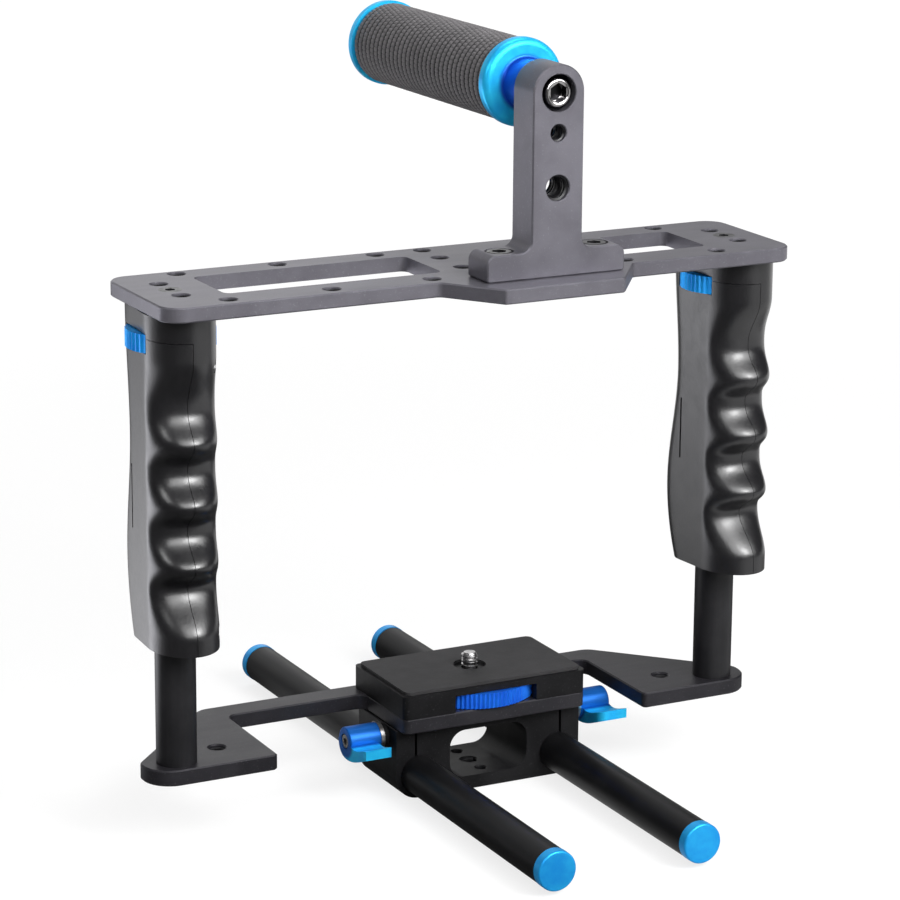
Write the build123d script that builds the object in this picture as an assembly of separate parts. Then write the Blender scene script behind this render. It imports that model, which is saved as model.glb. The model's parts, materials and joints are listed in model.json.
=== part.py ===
from build123d import *
import math
import os

# Camera cage on two 15 mm rods: a top plate and a base plate joined by two upright
# tubes, a finger grip on each tube, a rod clamp and a camera platform on the base
# plate, and a carrying handle on a post above the top plate.
# Millimetres, +Z up, the lens side faces -Y.
# Drawn with X = 0 midway between the rods, Y = 0 on the axes of the upright tubes and
# Z = 0 on the underside of the rod clamp block, on which the cage stands. At the end
# every piece moves forward, so that the finished origin is the tripod thread's mouth.

# ---------------------------------------------------------------- common sizes
quarter_inch_thread = 6.35
three_eighths_thread = 9.525
running_gap = 0.05        # radial gap of a shaft or rod in its bore
side_gap = 0.3            # gap beside a wheel or grip that turns between two faces
edge_break = 0.5          # chamfer on machined edges

# ------------------------------------------------------------------------ rods
rod_diameter = 15.0
rod_spacing = 60.0
rod_bore = 12.0
rod_length = 252.0
rod_front = -97.2         # front end of the bare rod tube
rod_height = 9.5          # rod axis above the underside of the block
cap_head = 4.2
cap_diameter = 15.3
cap_plug = 12.0

# ----------------------------------------------------------------- clamp block
block_depth = 33.0
block_height = 28.2
block_side_wall = 2.1
block_edge_radius = 9.4
window_width = 33.4
window_floor = 5.3
window_height = 19.0
window_radius = 6.5
jaw_slit = 1.0
jaw_slit_offset = 1.3     # slit axis outside of the rod axis
tripod_hole_pitch = 10.0
pin_hole = 4.3

# ------------------------------------------------------------------ base plate
plate_thickness = 6.0
platform_side_inset = 0.6  # platform's side face behind the side of the block
platform_depth = 45.0
platform_centre_y = 25.0
bar_front = 37.8
bar_rear = 48.6
lobe_front = -9.8
lobe_end = 13.0           # tube axis to the rounded end of a lobe
lobe_inner = 36.4         # tube axis to the inner edge of a lobe
lobe_slant_start = 4.3
lobe_slant_run = 42.2
lobe_hole_offset = 19.1
lobe_hole_y = 7.3

# --------------------------------------------------------------- upright tubes
tube_diameter = 15.0
tube_bore = 10.0
tube_left = -133.2
tube_right = 94.5
tube_length = 170.3
tube_insert_length = 16.0
tube_screw_thread = 6.0
tube_screw_head = 8.6
tube_screw_length = 16.0

# ------------------------------------------------------------------- top plate
top_thickness = 5.5
top_end = 13.8            # tube axis to the end of the plate
top_front = -30.0
top_rear = 28.2
top_corner = 8.0
tongue_front = -51.2
tongue_half = 24.2
tongue_centre = -2.3
tongue_slant = 15.5
window_front = -14.5
window_rear = 16.0
left_window = (-118.3, -33.0)
right_window = (29.0, 78.0)
top_window_radius = 3.0
row_first = -120.9
row_pitch = 39.6
row_count = 6
front_row_y = -23.3
rear_row_y = 23.3
end_hole_offset = 10.2
column_x = 22.3
column_ys = (8.8, -9.4)

# ----------------------------------------------------------------- handle post
post_front = -39.6
post_thickness = 15.2
post_width = 20.6
post_axis_height = 66.4   # handle bolt above the top plate
foot_width = 56.0
foot_height = 9.8
foot_radius = 4.0
foot_end_radius = 3.5
foot_base_radius = 1.2
upper_hole_drop = 14.3
lower_hole_drop = 34.1
post_screw_x = 19.4
post_screw_thread = 6.0
post_screw_head = 10.0
post_screw_recess = 5.6

# -------------------------------------------------------------- carrying handle
bolt_thread = 8.0
bolt_head = 13.0
bolt_head_height = 8.0
bolt_recess = 8.4
bolt_length = 62.0
neck_diameter = 18.0
neck_length = 10.3
flange_diameter = 32.6
flange_thickness = 5.0
rear_flange_thickness = 4.2
sleeve_diameter = 31.0
sleeve_length = 106.0
rear_screw_head = 14.0
rear_screw_length = 20.0
core_diameter = 20.0

# ------------------------------------------------------------- camera platform
spacer_height = 6.5
spacer_notch = 35.0
spacer_corner = 2.5
wheel_diameter = 50.0
wheel_knurls = 90
wheel_knurl_depth = 0.5
carrier_thickness = 2.5
pad_thickness = 1.2
pad_inset = 1.5
camera_screw_reach = 5.0
camera_screw_shank = 5.2  # bare shank in the carrier plate, below the thread
pilot_diameter = 8.0
pilot_depth = 4.2
platform_screw_thread = 4.0
platform_screw_head = 7.6
platform_screw_side = 5.5  # screw axes in from the platform's sides
platform_screw_end = 6.0   # and in from its front and rear
block_screw_x = 24.0
block_screw_y = 12.5
block_screw_length = 14.0

# ---------------------------------------------------------------- clamp levers
lever_y = 19.0
lever_height = 23.5
lever_hub_diameter = 11.0
lever_hub_length = 12.9
lever_boss_diameter = 9.2
lever_boss_height = 2.3
lever_arm_width = 11.8
lever_arm_reach = 18.7
lever_arm_corner = 3.0
lever_spring_bore = 8.4
lever_spring_depth = 9.6
lever_screw_head = 5.2
lever_screw_recess = 1.6
stud_thread = 6.0
stud_inner_end = 20.5     # stud end measured from the middle of the block
stud_tooth_count = 12
washer_diameter = 11.5
washer_thickness = 1.5

# ----------------------------------------------------------------- finger grips
grip_length = 122.6
grip_half_width = 12.9
grip_nose_start = 8.2     # where the side faces run into the rounded front
grip_front_top = 24.0
grip_front_bottom = 25.0
grip_mean_reach = 20.6
grip_wave = 3.3           # half the depth of the first groove
grip_wave_growth = 0.4    # added to it at each groove further down
grip_wave_skew = 1.36     # above 1 the step below each ridge is the steeper one
grip_groove_pitch = 22.5
grip_groove_count = 4
grip_first_groove = 32.4  # first groove below the top of the grip
grip_lean = 0.02
grip_palm_back = 20.0     # depth behind the tube at the palm swell
grip_palm_rise = 30.4     # palm swell above the lower end
grip_waist_back = 14.7
grip_waist_rise = 75.4    # waist above the lower end
grip_top_back = 18.2
grip_bottom_back = 14.0
grip_back_radius = 7.5
grip_left_turn = -3.5
grip_right_turn = 5.0
grip_slices = 33
grip_cavity_wall = 3.0
grip_slit_length = 24.0
grip_slit_width = 0.9
grip_slit_rise = 64.8     # upper end of the slit above the lower end
grip_seam = 0.1           # each shell stays this far off the parting plane
lock_wheel_diameter = 32.4
lock_wheel_thickness = 6.6
lock_wheel_knurls = 48
lock_wheel_drop = 7.4     # top of the wheel below the top of the grip
collar_diameter = 20.0
collar_length = 9.0
collar_split = 2.0
bush_diameter = 19.0
bush_length = 7.0
grip_screw_thread = 3.0
grip_screw_head = 5.6
grip_screw_seat = 6.5     # seat of the shell screws beside the seam
grip_screw_reach = 8.0

# ------------------------------------------------------------- derived heights
base_bottom = block_height
base_top = base_bottom + plate_thickness
top_bottom = base_top + tube_length
top_top = top_bottom + top_thickness
grip_top = top_bottom - side_gap
grip_bottom = grip_top - grip_length
grip_palm_height = grip_bottom + grip_palm_rise
grip_waist_height = grip_bottom + grip_waist_rise
grip_slit_top = grip_bottom + grip_slit_rise
carrier_bottom = base_top + spacer_height
carrier_top = carrier_bottom + carrier_thickness
pad_top = carrier_top + pad_thickness
block_front = platform_centre_y - block_depth / 2
block_rear = platform_centre_y + block_depth / 2
block_half = rod_spacing / 2 + rod_diameter / 2 + block_side_wall
platform_width = 2 * (block_half - platform_side_inset)
platform_screw_x = platform_width / 2 - platform_screw_side
platform_screw_y = platform_depth / 2 - platform_screw_end
handle_height = top_top + post_axis_height
post_rear = post_front + post_thickness
flange_front = post_rear + neck_length
sleeve_front = flange_front + flange_thickness
sleeve_rear = sleeve_front + sleeve_length
lock_wheel_top = grip_top - lock_wheel_drop
lock_wheel_bottom = lock_wheel_top - lock_wheel_thickness
plate_middle = (tube_left + tube_right) / 2


# -------------------------------------------------------------- shape helpers
def bar_x(radius, start, end, y, z):
    """Round bar along X."""
    bar = Cylinder(radius, end - start, align=(Align.CENTER, Align.CENTER, Align.MIN))
    return Pos(start, y, z) * Rot(0, 90, 0) * bar


def bar_y(radius, start, end, x, z):
    """Round bar along Y."""
    bar = Cylinder(radius, end - start, align=(Align.CENTER, Align.CENTER, Align.MIN))
    return Pos(x, start, z) * Rot(-90, 0, 0) * bar


def bar_z(radius, bottom, top, x, y):
    """Round bar along Z."""
    bar = Cylinder(radius, top - bottom, align=(Align.CENTER, Align.CENTER, Align.MIN))
    return Pos(x, y, bottom) * bar


def cone_z(bottom_radius, top_radius, bottom, top, x, y):
    """Cone along Z."""
    low = (Align.CENTER, Align.CENTER, Align.MIN)
    return Pos(x, y, bottom) * Cone(bottom_radius, top_radius, top - bottom, align=low)


def block(x_range, y_range, z_range):
    """Rectangular block between pairs of limits."""
    limits = (x_range, y_range, z_range)
    sizes = [high - low for low, high in limits]
    middles = [(high + low) / 2 for low, high in limits]
    return Pos(*middles) * Box(*sizes)


def rounded_face(points, radii):
    """Face with straight sides and one corner radius per point, or one for all."""
    face = make_face(Polyline(*points, close=True))
    if not isinstance(radii, tuple):
        return fillet(face.vertices(), radii)
    for point, radius in zip(points, radii):
        if radius > 0:
            face = fillet(face.vertices().sort_by_distance(point)[0], radius)
    return face


def plate(points, radii, bottom, top):
    """Flat plate with rounded corners, drawn in X and Y."""
    outline = rounded_face(points, radii)
    return Pos(0, 0, bottom) * extrude(outline, amount=top - bottom)


def broken_edges(body):
    """Small chamfers around the upper and lower faces of a plate."""
    levels = body.faces().filter_by(Axis.Z)
    return chamfer(levels.edges(), edge_break)


def along_y(face, start, end):
    """Extrude a face drawn in X and Z along Y."""
    return Pos(0, end, 0) * extrude(Plane.XZ * face, amount=end - start)


def along_x(face, start, end):
    """Extrude a face drawn in Y and Z along X."""
    return Pos(start, 0, 0) * extrude(Plane.YZ * face, amount=end - start)


def mirrored(shape):
    """The same shape on the other side of the middle plane."""
    return shape.mirror(Plane.YZ)


def toothed_disc(radius, depth, count, bottom, top, x=0.0, y=0.0):
    """Disc along Z with V-shaped teeth around its rim."""
    points = []
    for tooth in range(2 * count):
        reach = radius - depth * (tooth % 2)
        angle = math.pi * tooth / count
        points.append((reach * math.cos(angle), reach * math.sin(angle)))
    face = make_face(Polyline(*points, close=True))
    return Pos(x, y, bottom) * extrude(face, amount=top - bottom)


def hex_socket(across_flats, depth):
    """Hexagonal recess that opens at Z = 0 and goes down."""
    key = RegularPolygon(across_flats / math.sqrt(3), 6)
    return Pos(0, 0, -depth) * extrude(key, amount=depth)


def flat_screw(thread, head, length):
    """Countersunk screw with its face at Z = 0, pointing down."""
    cone_height = (head - thread) / 2
    body = cone_z(thread / 2, head / 2, -cone_height, 0, 0, 0)
    body += bar_z(thread / 2, -length, -cone_height, 0, 0)
    return body - hex_socket(0.58 * thread, 0.45 * thread)


def socket_screw(thread, head, head_height, length):
    """Socket head cap screw, seat of the head at Z = 0, pointing down."""
    body = bar_z(head / 2, 0, head_height, 0, 0)
    body = chamfer(body.edges().sort_by(Axis.Z)[-1], 0.06 * head)
    body += bar_z(thread / 2, -length, 0, 0, 0)
    return body - Pos(0, 0, head_height) * hex_socket(0.8 * thread, 0.5 * head_height)


def countersink(thread, head, top, x, y):
    """Conical recess for a flat screw whose face lies at the given height."""
    depth = (head - thread) / 2
    return cone_z(thread / 2, head / 2, top - depth, top, x, y)


# ------------------------------------------------------------------------ rods
def make_rod(x):
    rod = bar_y(rod_diameter / 2, rod_front, rod_front + rod_length, x, rod_height)
    rod -= bar_y(rod_bore / 2, rod_front, rod_front + rod_length, x, rod_height)
    return chamfer(rod.edges().filter_by(GeomType.CIRCLE), 0.4)


def make_rod_caps(x):
    """One cap at each end: a plug in the bore and a head over the end face."""
    caps = []
    for end, outward in ((rod_front, -1), (rod_front + rod_length, 1)):
        outer = end + outward * cap_head
        inner = end - outward * cap_plug
        head = bar_y(cap_diameter / 2, min(end, outer), max(end, outer), x, rod_height)
        rim = head.edges().filter_by(GeomType.CIRCLE).sort_by(Axis.Y)
        head = fillet(rim[-1] if outward > 0 else rim[0], 0.8)
        plug = bar_y(rod_bore / 2, min(end, inner), max(end, inner), x, rod_height)
        caps.append(head + plug)
    return caps


# ----------------------------------------------------------------- clamp block
def make_clamp_block():
    corners = (
        (-block_half, 0),
        (block_half, 0),
        (block_half, block_height),
        (-block_half, block_height),
    )
    radii = (block_edge_radius, block_edge_radius, edge_break, edge_break)
    profile = rounded_face(corners, radii)
    body = along_y(profile, block_front, block_rear)

    opening = RectangleRounded(window_width, window_height, window_radius)
    opening = Pos(0, window_floor + window_height / 2) * opening
    body -= along_y(opening, block_front, block_rear)

    for side in (-1, 1):
        rod_x = side * rod_spacing / 2
        bore = rod_diameter / 2 + running_gap
        body -= bar_y(bore, block_front, block_rear, rod_x, rod_height)
        slit_x = rod_x + side * jaw_slit_offset
        body -= block(
            (slit_x - jaw_slit / 2, slit_x + jaw_slit / 2),
            (block_front, block_rear),
            (rod_height, block_height),
        )
        for screw_y in (-block_screw_y, block_screw_y):
            body -= bar_z(
                platform_screw_thread / 2,
                base_top - block_screw_length,
                block_height,
                side * block_screw_x,
                platform_centre_y + screw_y,
            )
    boss_end = block_half + lever_boss_height
    for start, end in ((-boss_end, -block_half), (block_half, boss_end)):
        body += bar_x(lever_boss_diameter / 2, start, end, lever_y, lever_height)
    stud_hole = stud_thread / 2 + running_gap
    for start, end in ((-boss_end, -stud_inner_end), (stud_inner_end, boss_end)):
        body -= bar_x(stud_hole, start, end, lever_y, lever_height)

    centre = platform_centre_y
    body -= bar_z(quarter_inch_thread / 2, 0, window_floor, 0, centre)
    for offset in (-tripod_hole_pitch, tripod_hole_pitch):
        body -= bar_z(pin_hole / 2, 0, window_floor, 0, centre + offset)
    return body


# ------------------------------------------------------------------ base plate
def make_base_plate():
    half = platform_width / 2
    front = platform_centre_y - platform_depth / 2
    left = tube_left - lobe_end
    right = tube_right + lobe_end
    points = (
        (tube_left + lobe_inner, lobe_front),
        (left, lobe_front),
        (left, lobe_slant_start),
        (left + lobe_slant_run, bar_rear),
        (right - lobe_slant_run, bar_rear),
        (right, lobe_slant_start),
        (right, lobe_front),
        (tube_right - lobe_inner, lobe_front),
        (tube_right - lobe_inner, bar_front),
        (half, bar_front),
        (half, front),
        (-half, front),
        (-half, bar_front),
        (tube_left + lobe_inner, bar_front),
    )
    radii = (2, 11, 6, 8, 8, 6, 11, 2, 4, 4, 2.5, 2.5, 4, 4)
    body = plate(points, radii, base_bottom, base_top)
    body = broken_edges(body)
    for tube_x, inward in ((tube_left, 1), (tube_right, -1)):
        body -= bar_z(tube_screw_thread / 2, base_bottom, base_top, tube_x, 0)
        sink = (tube_screw_head - tube_screw_thread) / 2
        body -= cone_z(
            tube_screw_head / 2,
            tube_screw_thread / 2,
            base_bottom,
            base_bottom + sink,
            tube_x,
            0,
        )
        hole_x = tube_x + inward * lobe_hole_offset
        body -= bar_z(quarter_inch_thread / 2, base_bottom, base_top, hole_x, lobe_hole_y)
    for x, y in block_screw_places():
        body -= bar_z(platform_screw_thread / 2, base_bottom, base_top, x, y)
        body -= countersink(platform_screw_thread, platform_screw_head, base_top, x, y)
    for x, y in platform_screw_places():
        body -= bar_z(platform_screw_thread / 2, base_bottom, base_top, x, y)
    pilot = pilot_diameter / 2 + running_gap
    body -= bar_z(pilot, base_top - pilot_depth - side_gap, base_top, 0, platform_centre_y)
    return body


def block_screw_places():
    places = []
    for x in (-block_screw_x, block_screw_x):
        for y in (-block_screw_y, block_screw_y):
            places.append((x, platform_centre_y + y))
    return places


def platform_screw_places():
    places = []
    for x in (-platform_screw_x, platform_screw_x):
        for y in (-platform_screw_y, platform_screw_y):
            places.append((x, platform_centre_y + y))
    return places


def make_block_screws():
    screw = flat_screw(platform_screw_thread, platform_screw_head, block_screw_length)
    return [Pos(x, y, base_top) * screw for x, y in block_screw_places()]


def make_platform_screws():
    length = carrier_thickness + spacer_height + plate_thickness
    screw = flat_screw(platform_screw_thread, platform_screw_head, length)
    return [Pos(x, y, carrier_top) * screw for x, y in platform_screw_places()]


# ------------------------------------------------------------- camera platform
def platform_outline(inset, bottom, top):
    half = platform_width / 2 - inset
    front = platform_centre_y - platform_depth / 2 + inset
    rear = platform_centre_y + platform_depth / 2 - inset
    points = ((-half, front), (half, front), (half, rear), (-half, rear))
    return plate(points, spacer_corner, bottom, top)


def make_spacer(side):
    """Side block of the platform, hollowed for the rim of the thumb wheel."""
    body = platform_outline(0, base_top, carrier_bottom)
    middle = block(
        (-platform_width, spacer_notch / 2),
        (-platform_width, platform_width * 2),
        (base_top, carrier_bottom),
    )
    body -= middle if side > 0 else mirrored(middle)
    pocket = wheel_diameter / 2 + 2 * side_gap
    body -= bar_z(pocket, base_top, carrier_bottom, 0, platform_centre_y)
    for x, y in platform_screw_places():
        if x * side > 0:
            body -= bar_z(platform_screw_thread / 2, base_top, carrier_bottom, x, y)
    return body


def make_carrier():
    body = platform_outline(0, carrier_bottom, carrier_top)
    hole = quarter_inch_thread / 2 + running_gap
    body -= bar_z(hole, carrier_bottom, carrier_top, 0, platform_centre_y)
    for x, y in platform_screw_places():
        body -= bar_z(platform_screw_thread / 2, carrier_bottom, carrier_top, x, y)
        body -= countersink(platform_screw_thread, platform_screw_head, carrier_top, x, y)
    return body


def make_camera_pad():
    body = platform_outline(pad_inset, carrier_top, pad_top)
    hole = quarter_inch_thread
    return body - bar_z(hole, carrier_top, pad_top, 0, platform_centre_y)


def make_thumb_wheel():
    bottom = base_top + side_gap
    top = carrier_bottom - side_gap
    body = toothed_disc(wheel_diameter / 2, wheel_knurl_depth, wheel_knurls, bottom, top)
    body -= bar_z(pilot_diameter / 2, bottom, top, 0, 0)
    return Pos(0, platform_centre_y, 0) * body


def make_camera_screw():
    """Screw for the camera: pilot below, hub in the wheel, shank and thread above."""
    wheel_top = carrier_bottom - side_gap
    y = platform_centre_y
    body = bar_z(pilot_diameter / 2, base_top - pilot_depth, wheel_top, 0, y)
    start = carrier_top + side_gap
    body += bar_z(camera_screw_shank / 2, wheel_top, start, 0, y)
    thread = bar_z(quarter_inch_thread / 2, start, pad_top + camera_screw_reach, 0, y)
    thread = chamfer(thread.edges().sort_by(Axis.Z)[-1], 0.8)
    return body + thread


# --------------------------------------------------------------- upright tubes
def make_tube(x):
    body = bar_z(tube_diameter / 2, base_top, top_bottom, x, 0)
    return body - bar_z(tube_bore / 2, base_top, top_bottom, x, 0)


def make_tube_inserts(x):
    """Threaded plugs in both ends of an upright tube."""
    low = bar_z(tube_bore / 2, base_top, base_top + tube_insert_length, x, 0)
    high = bar_z(tube_bore / 2, top_bottom - tube_insert_length, top_bottom, x, 0)
    reach = tube_screw_length - plate_thickness
    low -= bar_z(tube_screw_thread / 2, base_top, base_top + reach, x, 0)
    reach = tube_screw_length - top_thickness
    high -= bar_z(tube_screw_thread / 2, top_bottom - reach, top_bottom, x, 0)
    return [low, high]


def make_tube_top_screws():
    screw = flat_screw(tube_screw_thread, tube_screw_head, tube_screw_length)
    return [Pos(x, 0, top_top) * screw for x in (tube_left, tube_right)]


def make_tube_bottom_screws():
    screw = flat_screw(tube_screw_thread, tube_screw_head, tube_screw_length)
    upward = Rot(180, 0, 0) * screw
    return [Pos(x, 0, base_bottom) * upward for x in (tube_left, tube_right)]


# ------------------------------------------------------------------- top plate
def make_top_plate():
    left = tube_left - top_end
    right = tube_right + top_end - 0.7
    tongue_left = tongue_centre - tongue_half
    tongue_right = tongue_centre + tongue_half
    points = (
        (left, top_front),
        (tongue_left - tongue_slant, top_front),
        (tongue_left, tongue_front),
        (tongue_right, tongue_front),
        (tongue_right + tongue_slant, top_front),
        (right, top_front),
        (right, top_rear),
        (left, top_rear),
    )
    radii = (top_corner, 3, 1.5, 1.5, 3, top_corner, top_corner, top_corner)
    body = plate(points, radii, top_bottom, top_top)
    body = broken_edges(body)
    for start, end in (left_window, right_window):
        points = (
            (start, window_front),
            (end, window_front),
            (end, window_rear),
            (start, window_rear),
        )
        body -= plate(points, top_window_radius, top_bottom, top_top)
    for x, y in threaded_hole_places():
        body -= bar_z(quarter_inch_thread / 2, top_bottom, top_top, x, y)
    for tube_x in (tube_left, tube_right):
        body -= bar_z(tube_screw_thread / 2, top_bottom, top_top, tube_x, 0)
        body -= countersink(tube_screw_thread, tube_screw_head, top_top, tube_x, 0)
    for x in (-post_screw_x, post_screw_x):
        middle = post_front + post_thickness / 2
        body -= bar_z(post_screw_thread / 2, top_bottom, top_top, x, middle)
    return body


def threaded_hole_places():
    """Accessory threads: rows on the two long bars, pairs at the ends, two columns."""
    places = []
    for step in range(row_count):
        x = row_first + step * row_pitch
        over_tongue = abs(x - tongue_centre) < row_pitch / 2
        if not over_tongue:
            places.append((x, front_row_y))
            places.append((x, rear_row_y))
    for tube_x in (tube_left, tube_right):
        places.append((tube_x, end_hole_offset))
        places.append((tube_x, -end_hole_offset))
    for x in (-column_x, column_x):
        places.append((x, rear_row_y))
        for y in column_ys:
            places.append((x, y))
    return places


# ----------------------------------------------------------------- handle post
def make_handle_post():
    foot = foot_width / 2
    half = post_width / 2
    foot_top = top_top + foot_height
    points = (
        (-foot, top_top),
        (foot, top_top),
        (foot, foot_top),
        (half, foot_top),
        (half, handle_height),
        (-half, handle_height),
        (-half, foot_top),
        (-foot, foot_top),
    )
    low = foot_base_radius
    radii = (low, low, foot_end_radius, foot_radius, 0, 0, foot_radius, foot_end_radius)
    profile = rounded_face(points, radii)
    profile += Pos(0, handle_height) * Circle(half)
    body = along_y(profile, post_front, post_rear)
    rims = body.faces().sort_by(Axis.Y)
    body = chamfer(rims[0].edges() + rims[-1].edges(), edge_break)

    body -= bar_y(bolt_thread / 2, post_front, post_rear, 0, handle_height)
    seat = post_front + bolt_recess
    body -= bar_y(bolt_head / 2 + side_gap, post_front, seat, 0, handle_height)
    upper = handle_height - upper_hole_drop
    body -= bar_y(quarter_inch_thread / 2, post_front, post_rear, 0, upper)
    lower = handle_height - lower_hole_drop
    body -= bar_y(three_eighths_thread / 2, post_front, post_rear, 0, lower)
    middle = post_front + post_thickness / 2
    seat = foot_top - post_screw_recess
    for x in (-post_screw_x, post_screw_x):
        body -= bar_z(post_screw_thread / 2, top_top, seat, x, middle)
        recess = post_screw_head / 2 + side_gap
        body -= bar_z(recess, seat, foot_top + foot_radius, x, middle)
    return body


def make_post_screws():
    seat = top_top + foot_height - post_screw_recess
    length = seat - top_bottom
    screw = socket_screw(post_screw_thread, post_screw_head, post_screw_recess, length)
    middle = post_front + post_thickness / 2
    return [Pos(x, middle, seat) * screw for x in (-post_screw_x, post_screw_x)]


# -------------------------------------------------------------- carrying handle
def make_handle_bolt():
    screw = socket_screw(bolt_thread, bolt_head, bolt_head_height, bolt_length)
    return Pos(0, post_front + bolt_recess, handle_height) * Rot(90, 0, 0) * screw


def bolt_hole(start, end):
    return bar_y(bolt_thread / 2, start, end, 0, handle_height)


def make_front_flange():
    """Coloured flange with the narrower neck that stands on the post."""
    neck = bar_y(neck_diameter / 2, post_rear, flange_front, 0, handle_height)
    disc = bar_y(flange_diameter / 2, flange_front, sleeve_front, 0, handle_height)
    rims = disc.edges().filter_by(GeomType.CIRCLE).sort_by(Axis.Y)
    disc = chamfer(rims[0], 2.2)
    return neck + disc - bolt_hole(post_rear, sleeve_front)


def make_handle_core():
    body = bar_y(core_diameter / 2, sleeve_front, sleeve_rear, 0, handle_height)
    bolt_end = post_front + bolt_recess + bolt_length
    body -= bolt_hole(sleeve_front, bolt_end)
    screw_end = sleeve_rear + rear_flange_thickness - rear_screw_length
    return body - bolt_hole(screw_end, sleeve_rear)


def make_handle_sleeve():
    body = bar_y(sleeve_diameter / 2, sleeve_front, sleeve_rear, 0, handle_height)
    return body - bar_y(core_diameter / 2, sleeve_front, sleeve_rear, 0, handle_height)


def make_rear_flange():
    end = sleeve_rear + rear_flange_thickness
    disc = bar_y(flange_diameter / 2, sleeve_rear, end, 0, handle_height)
    rims = disc.edges().filter_by(GeomType.CIRCLE).sort_by(Axis.Y)
    disc = fillet(rims[-1], 2.0)
    disc -= bolt_hole(sleeve_rear, end)
    sink = countersink(bolt_thread, rear_screw_head, 0, 0, 0)
    return disc - Pos(0, end, handle_height) * Rot(-90, 0, 0) * sink


def make_rear_screw():
    end = sleeve_rear + rear_flange_thickness
    screw = flat_screw(bolt_thread, rear_screw_head, rear_screw_length)
    return Pos(0, end, handle_height) * Rot(-90, 0, 0) * screw


# ---------------------------------------------------------------- clamp levers
def lever_limits():
    """Outer and inner end of the left lever's hub along X."""
    inner = -(block_half + lever_boss_height + washer_thickness + 2 * running_gap)
    return inner - lever_hub_length, inner


def make_left_lever():
    """Cast lever: a round hub on the stud and a paddle that curves forward under it."""
    outer, inner = lever_limits()
    radius = lever_hub_diameter / 2
    hub = bar_x(radius, outer, inner, 0, 0)
    hub = fillet(hub.edges().filter_by(GeomType.CIRCLE).sort_by(Axis.X)[0], 0.8)
    tip = -lever_arm_reach
    lower = Spline((radius, 0), (1.8, -6.1), (-4.5, -6.6), (-11.2, -4.9), (tip, -1.9))
    end = Line((tip, -1.9), (tip, 1.9))
    upper = Spline((tip, 1.9), (-11.8, -0.4), (-7.6, -1.0), (-4.0, 0))
    root = Line((-4.0, 0), (radius, 0))
    arm = along_x(make_face([lower, end, upper, root]), outer, outer + lever_arm_width)
    front = arm.edges().filter_by(Axis.Z).sort_by(Axis.X)[-1]
    arm = fillet(front, lever_arm_corner)
    body = hub + arm
    body -= bar_x(stud_thread / 2, outer, inner, 0, 0)
    body -= bar_x(lever_spring_bore / 2, inner - lever_spring_depth, inner, 0, 0)
    body -= bar_x(lever_screw_head / 2, outer, outer + lever_screw_recess, 0, 0)
    return Pos(0, lever_y, lever_height) * body


def make_left_stud():
    """Stud with a toothed collar that drives it, screwed into the inner jaw."""
    outer, inner = lever_limits()
    start = outer + lever_screw_recess + 1.2
    body = bar_x(stud_thread / 2, start, -stud_inner_end - 0.5, 0, 0)
    collar = toothed_disc(lever_spring_bore / 2, 0.4, stud_tooth_count, 0, 3.0)
    body += Pos(inner - 3.6, 0, 0) * Rot(0, 90, 0) * collar
    return Pos(0, lever_y, lever_height) * body


def make_left_lever_screw():
    """Small screw in the outer end of the hub that keeps the lever on its stud."""
    outer, inner = lever_limits()
    seat = outer + lever_screw_recess
    head = bar_x(lever_screw_head / 2, outer + 0.2, seat, 0, 0)
    shank = bar_x(lever_screw_head / 2 - 0.6, seat, seat + 1.2, 0, 0)
    socket = Pos(outer + 0.2, 0, 0) * Rot(0, -90, 0) * hex_socket(2.5, 1.2)
    return Pos(0, lever_y, lever_height) * (head + shank - socket)


def make_left_washer():
    end = -(block_half + lever_boss_height)
    start = end - washer_thickness
    body = bar_x(washer_diameter / 2, start, end, lever_y, lever_height)
    hole = stud_thread / 2 + running_gap
    return body - bar_x(hole, start, end, lever_y, lever_height)


# ----------------------------------------------------------------- finger grips
def blend(low, high, value):
    """Smooth step from 0 at low to 1 at high."""
    share = min(max((value - low) / (high - low), 0.0), 1.0)
    return share * share * (3 - 2 * share)


def front_reach(z):
    """Depth of the grip in front of the tube: finger grooves between two flares."""
    count = (grip_top - grip_first_groove - z) / grip_groove_pitch
    last = grip_groove_count - 1
    inside = min(max(count, 0.0), last)
    share = (inside % 1.0) ** grip_wave_skew
    mean = grip_mean_reach - grip_lean * grip_groove_pitch * inside
    wave = grip_wave + grip_wave_growth * inside
    reach = mean - wave * math.cos(2 * math.pi * share)
    flare = blend(0.0, 0.75, max(-count, count - last))
    end = grip_front_top if count < 0 else grip_front_bottom
    return reach + (end - reach) * flare


def back_reach(z):
    """Depth of the grip behind the tube: a swell for the palm and a waist above it."""
    if z > grip_waist_height:
        share = blend(grip_waist_height, grip_top, z)
        return grip_waist_back + (grip_top_back - grip_waist_back) * share
    if z > grip_palm_height:
        share = blend(grip_palm_height, grip_waist_height, z)
        return grip_palm_back + (grip_waist_back - grip_palm_back) * share
    share = ((grip_palm_height - z) / (grip_palm_height - grip_bottom)) ** 2
    return grip_palm_back + (grip_bottom_back - grip_palm_back) * share


def half_section(z):
    """Half of the grip's cross-section at one height, on the +X side."""
    front = front_reach(z)
    back = back_reach(z)
    half = grip_half_width
    radius = grip_back_radius
    nose = EllipticalCenterArc(
        (0, -grip_nose_start), half, front - grip_nose_start, 270, arc_size=90
    )
    side = Line((half, -grip_nose_start), (half, back - radius))
    corner = CenterArc((half - radius, back - radius), radius, 0, 90)
    rear = Line((half - radius, back), (0, back))
    seam = Line((0, back), (0, -front))
    return Pos(0, 0, z) * make_face([nose, side, corner, rear, seam])


def grip_screw_places():
    """Places of the shell screws in Y and Z."""
    high = lock_wheel_bottom - 5.0
    low = grip_bottom + 5.0
    return ((15.0, high), (-15.5, high), (11.5, low), (-15.5, low))


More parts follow.
